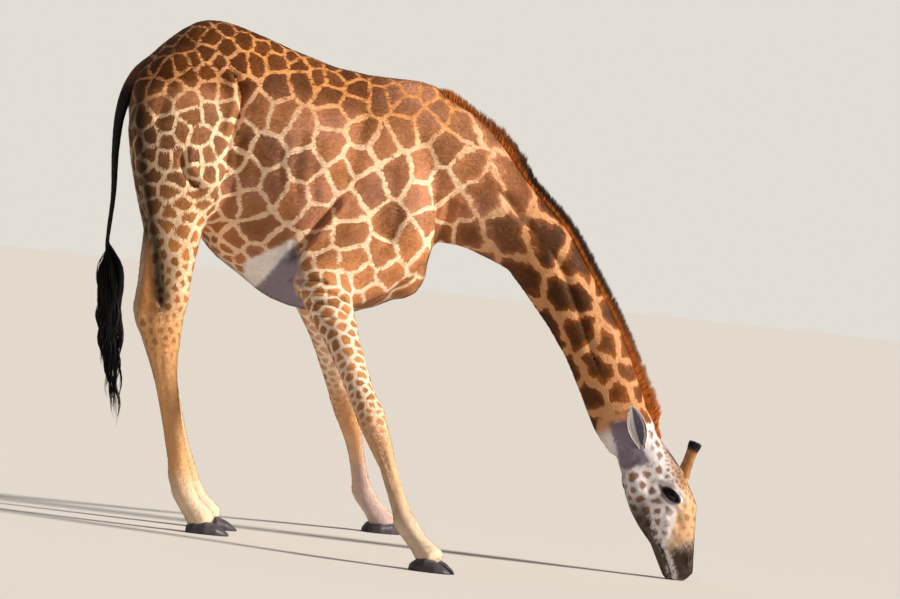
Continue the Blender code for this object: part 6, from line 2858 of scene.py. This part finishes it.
class Finishes:
    """Every material of the animal, made once."""

    def __init__(self) -> None:
        """Builds the shared groups and the materials."""
        self.coat_tree = coat_group()
        self.grain_tree = grain_group()
        self.blend_tree = blend_group()
        self.skin = self.coat("skin_coat", bump=0.25)
        self.fur = self.coat("fur_coat", bump=0.0)
        self.mane = self.two_tone("mane_dark_tips", HairFinish(
            linear(202, 118, 48), linear(44, 23, 14), 0.30, 0.92, Along.STRAND, 30.0, 0.40, 0.55, 0.7))
        self.black_hair = self.two_tone("black_hair", HairFinish(
            linear(9, 8, 8), linear(20, 16, 15), 0.2, 1.0, Along.STRAND, 30.0, 0.3, 0.42, 0.5))
        self.tail = self.two_tone("tail_skin", HairFinish(
            linear(96, 60, 34), linear(14, 12, 12), 2.08, 1.98, Along.HEIGHT, 40.0, 0.10, 0.6))
        self.ear = self.two_tone("ear_skin", HairFinish(
            linear(232, 222, 218), linear(104, 94, 114), 0.26, 0.40, Along.STRAND, 60.0, 0.16, 0.7))
        self.ear_hair = self.two_tone("ear_fur", HairFinish(
            linear(206, 176, 150), linear(238, 232, 230), 0.3, 0.7, Along.ACROSS, 60.0, 0.2, 0.7))
        self.horn = self.two_tone("ossicone_skin", HairFinish(
            linear(184, 134, 86), linear(20, 16, 15), 0.74, 0.84, Along.STRAND, 60.0, 0.06, 0.7))
        self.horn_hair = self.two_tone("ossicone_fur", HairFinish(
            linear(192, 142, 92), linear(16, 13, 13), 0.74, 0.82, Along.ACROSS, 60.0, 0.05, 0.6))
        self.hoof = self.two_tone("hoof_horn", HairFinish(
            linear(66, 62, 66), linear(112, 102, 98), 0.55, 1.0, Along.ACROSS, 50.0, 0.5, 0.42))
        self.eye = self.eye_finish()

    def start(self, name: str) -> tuple[bpy.types.Material, bpy.types.Node]:
        """A new material and its Principled shader.

        Args:
            name: The material's name.

        Returns:
            The material and the shader.
        """
        made = bpy.data.materials.new(name)
        made.use_nodes = True
        return made, made.node_tree.nodes["Principled BSDF"]

    def attribute(self, made: bpy.types.Material, name: str) -> Socket:
        """The vector of a stored value.

        Args:
            made: The material.
            name: The stored value's name.

        Returns:
            The vector's socket.
        """
        node = made.node_tree.nodes.new("ShaderNodeAttribute")
        node.attribute_name = name
        return node.outputs["Vector"]

    def place(self, made: bpy.types.Material, group: bpy.types.NodeTree,
              values: dict[str, Value]) -> bpy.types.Node:
        """Places a shared group in a material and sets its inputs.

        Args:
            made: The material.
            group: The shared group.
            values: A socket or a plain value for each input's name.

        Returns:
            The group's node.
        """
        tree = made.node_tree
        node = tree.nodes.new("ShaderNodeGroup")
        node.node_tree = group
        for name, value in values.items():
            feed(tree, node.inputs[name], value)
        return node

    def grain(self, made: bpy.types.Material, vector: Socket, scale: float, rough: float, vary: float,
              bump: float) -> None:
        """Adds grain to a material's roughness and, where bump is over 0, to its normal.

        Args:
            made: The material.
            vector: Where the grain is read.
            scale: How fine it is.
            rough: The middle roughness.
            vary: How far roughness varies.
            bump: The strength of the bump.
        """
        tree = made.node_tree
        shader = tree.nodes["Principled BSDF"]
        node = self.place(made, self.grain_tree, {
            "Vector": vector, "Scale": scale, "Roughness": rough, "Variation": vary})
        tree.links.new(node.outputs["Roughness"], shader.inputs["Roughness"])
        if bump > 0:
            lift = tree.nodes.new("ShaderNodeBump")
            lift.inputs["Strength"].default_value = bump
            lift.inputs["Distance"].default_value = 0.002
            tree.links.new(node.outputs["Height"], lift.inputs["Height"])
            tree.links.new(lift.outputs["Normal"], shader.inputs["Normal"])

    def coat(self, name: str, bump: float) -> bpy.types.Material:
        """The patched coat, for skin or fur.

        Args:
            name: The material's name.
            bump: The bump's strength.

        Returns:
            The material.
        """
        made, shader = self.start(name)
        stored = {label: self.attribute(made, label.lower())
                  for label in ("Root", "Marks", "Ground", "Patch", "Strand")}
        node = self.place(made, self.coat_tree, stored)
        made.node_tree.links.new(node.outputs["Color"], shader.inputs["Base Color"])
        shader.inputs["Specular IOR Level"].default_value = 0.14
        shader.inputs["Sheen Weight"].default_value = 0.04
        shader.inputs["Sheen Roughness"].default_value = 0.45
        self.grain(made, stored["Root"], 420.0, 0.62, 0.18, bump)
        return made

    def two_tone(self, name: str, finish: HairFinish) -> bpy.types.Material:
        """A material that passes from one colour to another.

        Args:
            name: The material's name.
            finish: Its colours and where they pass.

        Returns:
            The material.
        """
        made, shader = self.start(name)
        tree = made.node_tree
        root = self.attribute(made, "root")
        split = tree.nodes.new("ShaderNodeSeparateXYZ")
        source, number = finish.by.value
        tree.links.new(self.attribute(made, source), split.inputs[0])
        values = {
            "Vector": root, "Value": split.outputs[number], "Low": finish.low, "High": finish.high,
            "First": (*finish.first, 1.0), "Second": (*finish.second, 1.0), "Scale": finish.scale,
            "Ragged": finish.ragged}
        if finish.each:
            values.update({"Each": split.outputs[1], "Each Amount": finish.each})
        node = self.place(made, self.blend_tree, values)
        tree.links.new(node.outputs["Color"], shader.inputs["Base Color"])
        shader.inputs["Specular IOR Level"].default_value = 0.25
        self.grain(made, root, finish.scale * 6, finish.roughness, 0.2, 0.3)
        return made

    def eye_finish(self) -> bpy.types.Material:
        """A dark brown iris with a wide dark pupil under a wet surface.

        Returns:
            The material.
        """
        made, shader = self.start("eye_wet")
        tree = made.node_tree
        root = self.attribute(made, "root")
        split = tree.nodes.new("ShaderNodeSeparateXYZ")
        tree.links.new(root, split.inputs[0])
        node = self.place(made, self.blend_tree, {
            "Vector": root, "Value": split.outputs[1], "Low": 0.80, "High": 0.90,
            "First": (*linear(34, 20, 14), 1.0), "Second": (*linear(7, 5, 6), 1.0), "Scale": 8.0,
            "Ragged": 0.05})
        tree.links.new(node.outputs["Color"], shader.inputs["Base Color"])
        shader.inputs["Roughness"].default_value = 0.06
        shader.inputs["Specular IOR Level"].default_value = 0.35
        return made


def dress(obj: bpy.types.Object, finish: bpy.types.Material) -> bpy.types.Object:
    """Gives an object its one material.

    Args:
        obj: The object.
        finish: The material.

    Returns:
        The object.
    """
    obj.data.materials.clear()
    obj.data.materials.append(finish)
    return obj


# Studio ----------------------------------------------------------------------------------------
@dataclass
class Studio:
    """Floor, lights and camera."""

    distance: float = 36.0
    turn: float = math.radians(5.0)
    look_down: float = math.radians(1.2)
    roll: float = math.radians(6.2)
    frame_width: float = 4.18605
    aim_share: tuple = (-0.055556, -0.279667)
    key_power: float = 6.3
    key_way: tuple = (-0.82, 0.345, -0.46)

    def camera(self, shift: Vector) -> None:
        """Stands the camera far off to the animal's right, level and a little rolled.

        Args:
            shift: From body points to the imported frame.
        """
        ahead = Vector((
            math.sin(self.turn) * math.cos(self.look_down),
            math.cos(self.turn) * math.cos(self.look_down),
            -math.sin(self.look_down),
        ))
        level = Vector((math.cos(self.turn), -math.sin(self.turn), 0.0))
        upright = level.cross(ahead)
        right = level * math.cos(self.roll) + upright * math.sin(self.roll)
        up = upright * math.cos(self.roll) - level * math.sin(self.roll)
        dx = self.aim_share[0] * self.frame_width
        dy = self.aim_share[1] * self.frame_width
        place = shift - (right * dx + up * dy + ahead * self.distance)
        data = bpy.data.cameras.new("view")
        data.sensor_width = 36.0
        data.lens = 36.0 * self.distance / self.frame_width
        data.clip_end = 200.0
        camera = bpy.data.objects.new("view", data)
        camera.matrix_world = Matrix.Translation(place) @ Matrix((right, up, -ahead)).transposed().to_4x4()
        bpy.context.scene.collection.objects.link(camera)
        bpy.context.scene.camera = camera

    def floor(self) -> None:
        """Lays a wide pale floor."""
        bm = bmesh.new()
        bmesh.ops.create_grid(bm, x_segments=1, y_segments=1, size=60.0)
        mesh = bpy.data.meshes.new("studio_floor")
        bm.to_mesh(mesh)
        bm.free()
        obj = new_object("studio_floor", mesh)
        made = bpy.data.materials.new("studio_floor")
        made.use_nodes = True
        shader = made.node_tree.nodes["Principled BSDF"]
        shader.inputs["Base Color"].default_value = (*linear(214, 210, 204), 1.0)
        shader.inputs["Roughness"].default_value = 0.9
        obj.data.materials.append(made)

    def lights(self) -> None:
        """Sets a warm key from the front right and a soft cool back light, under a pale sky."""
        suns = (
            ("key", self.key_power, 9.0, (1.0, 0.93, 0.84), self.key_way),
            ("back", 0.18, 40.0, (0.88, 0.94, 1.0), (0.5, -0.8, -0.7)),
        )
        for name, power, spread, colour, way in suns:
            sun = bpy.data.lights.new(name, "SUN")
            sun.energy = power
            sun.angle = math.radians(spread)
            sun.color = colour
            lamp = bpy.data.objects.new(name, sun)
            lamp.rotation_euler = Vector(way).to_track_quat("-Z", "Y").to_euler()
            bpy.context.scene.collection.objects.link(lamp)
        world = bpy.data.worlds.new("sky")
        world.use_nodes = True
        tree = world.node_tree
        light = tree.nodes["Background"]
        light.inputs["Color"].default_value = (0.97, 0.95, 0.96, 1.0)
        light.inputs["Strength"].default_value = 0.21
        seen = tree.nodes.new("ShaderNodeBackground")
        seen.inputs["Color"].default_value = (*linear(226, 221, 213), 1.0)
        both = tree.nodes.new("ShaderNodeMixShader")
        ray = tree.nodes.new("ShaderNodeLightPath")
        tree.links.new(ray.outputs["Is Camera Ray"], both.inputs[0])
        tree.links.new(light.outputs[0], both.inputs[1])
        tree.links.new(seen.outputs[0], both.inputs[2])
        tree.links.new(both.outputs[0], tree.nodes["World Output"].inputs["Surface"])
        bpy.context.scene.world = world
        bpy.context.scene.view_settings.view_transform = "Standard"


# Putting it together ---------------------------------------------------------------------------
FLESH = ("head", "neck_", "trunk", "thigh_", "shank_", "hindleg_", "foreleg_")


def box_of(name: str) -> Vector:
    """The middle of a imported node's box."""
    low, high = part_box(name)
    return (low + high) / 2


def solids_tree(nodes: dict) -> BVHTree:
    """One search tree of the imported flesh.

    Args:
        nodes: The frame's nodes.

    Returns:
        The tree.
    """
    points = []
    faces = []
    for name, obj in nodes.items():
        if not name.startswith(FLESH):
            continue
        start = len(points)
        points += [tuple(v.co) for v in obj.data.vertices]
        faces += [tuple(start + index for index in polygon.vertices) for polygon in obj.data.polygons]
    return BVHTree.FromPolygons(points, faces)


def settle(obj: bpy.types.Object, slot: str, *nodes: str) -> None:
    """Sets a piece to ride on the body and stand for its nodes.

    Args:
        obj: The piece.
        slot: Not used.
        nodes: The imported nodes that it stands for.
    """
    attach(obj, "root")
    if nodes:
        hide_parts(*nodes)
    log.info("%s: %d faces", obj.name, len(obj.data.polygons))


def main() -> None:
    """Builds the animal, dresses it and sets up the studio."""
    logging.basicConfig(level=logging.INFO, format="%(relativeCreated)6d %(message)s")
    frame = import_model()
    noise.seed_set(NOISE_SEED)  # unseeded, noise vectors differ from run to run
    nodes = frame["nodes"]
    shift = box_of("eye_right") - in_head(EYE_AT[0], EYE_AT[1], -EYE_AT[2])
    shift.y = 0.0
    shift.z = 0.0
    finishes = Finishes()

    skin = Skin().build(shift, solids_tree(nodes))
    points = points_of(skin.data) - np.array(shift)
    normals = normals_of(skin.data)
    markings = Markings()
    markings.grow(points)
    for label, values in markings.measure(points, normals).items():
        set_values(skin.data, label, values)
    set_values(skin.data, "root", points)
    sizes = markings.spacing(Anatomy(points))
    set_values(skin.data, "strand", np.stack([0.25 + 0 * sizes, 0.5 + 0 * sizes, sizes], axis=1))
    dress(skin, finishes.skin)
    settle(skin, "coat", *[name for name in nodes if name.startswith(FLESH)])

    for piece in Fur().build(skin, shift, markings):
        settle(dress(piece, finishes.fur), "coat")

    settle(dress(Mane().build(shift), finishes.mane), "mane_hair", "mane")
    tail = Tail()
    settle(dress(tail.build_stalk(shift), finishes.tail), "tail_skin", "tail")
    settle(dress(tail.build_tuft(shift), finishes.black_hair), "tail_hair", "tail_tuft")
    for number, side in enumerate(Side):
        ear = Ear(side)
        settle(dress(ear.build(shift), finishes.ear), "ear", f"ear_{side.label}")
        settle(dress(ear.build_hair(shift, 41 + number), finishes.ear_hair), "ear")
        horn = Ossicone(side)
        settle(dress(horn.build(shift), finishes.horn), "ossicone", f"ossicone_{side.label}")
        settle(dress(horn.build_hair(shift, 51 + number), finishes.horn_hair), "ossicone")
        eye = Eye(side)
        settle(dress(eye.build(shift), finishes.eye), "eye", f"eye_{side.label}")
        settle(dress(eye.build_lashes(shift, 61 + number), finishes.black_hair), "tail_hair")
    for claw in all_claws():
        node = claw.name.replace("hoof", "claw")
        settle(dress(claw.build(shift), finishes.hoof), "hoof_horn", node)

    studio = Studio()
    studio.floor()
    studio.lights()
    studio.camera(shift)


if __name__ == "__main__":
    main()
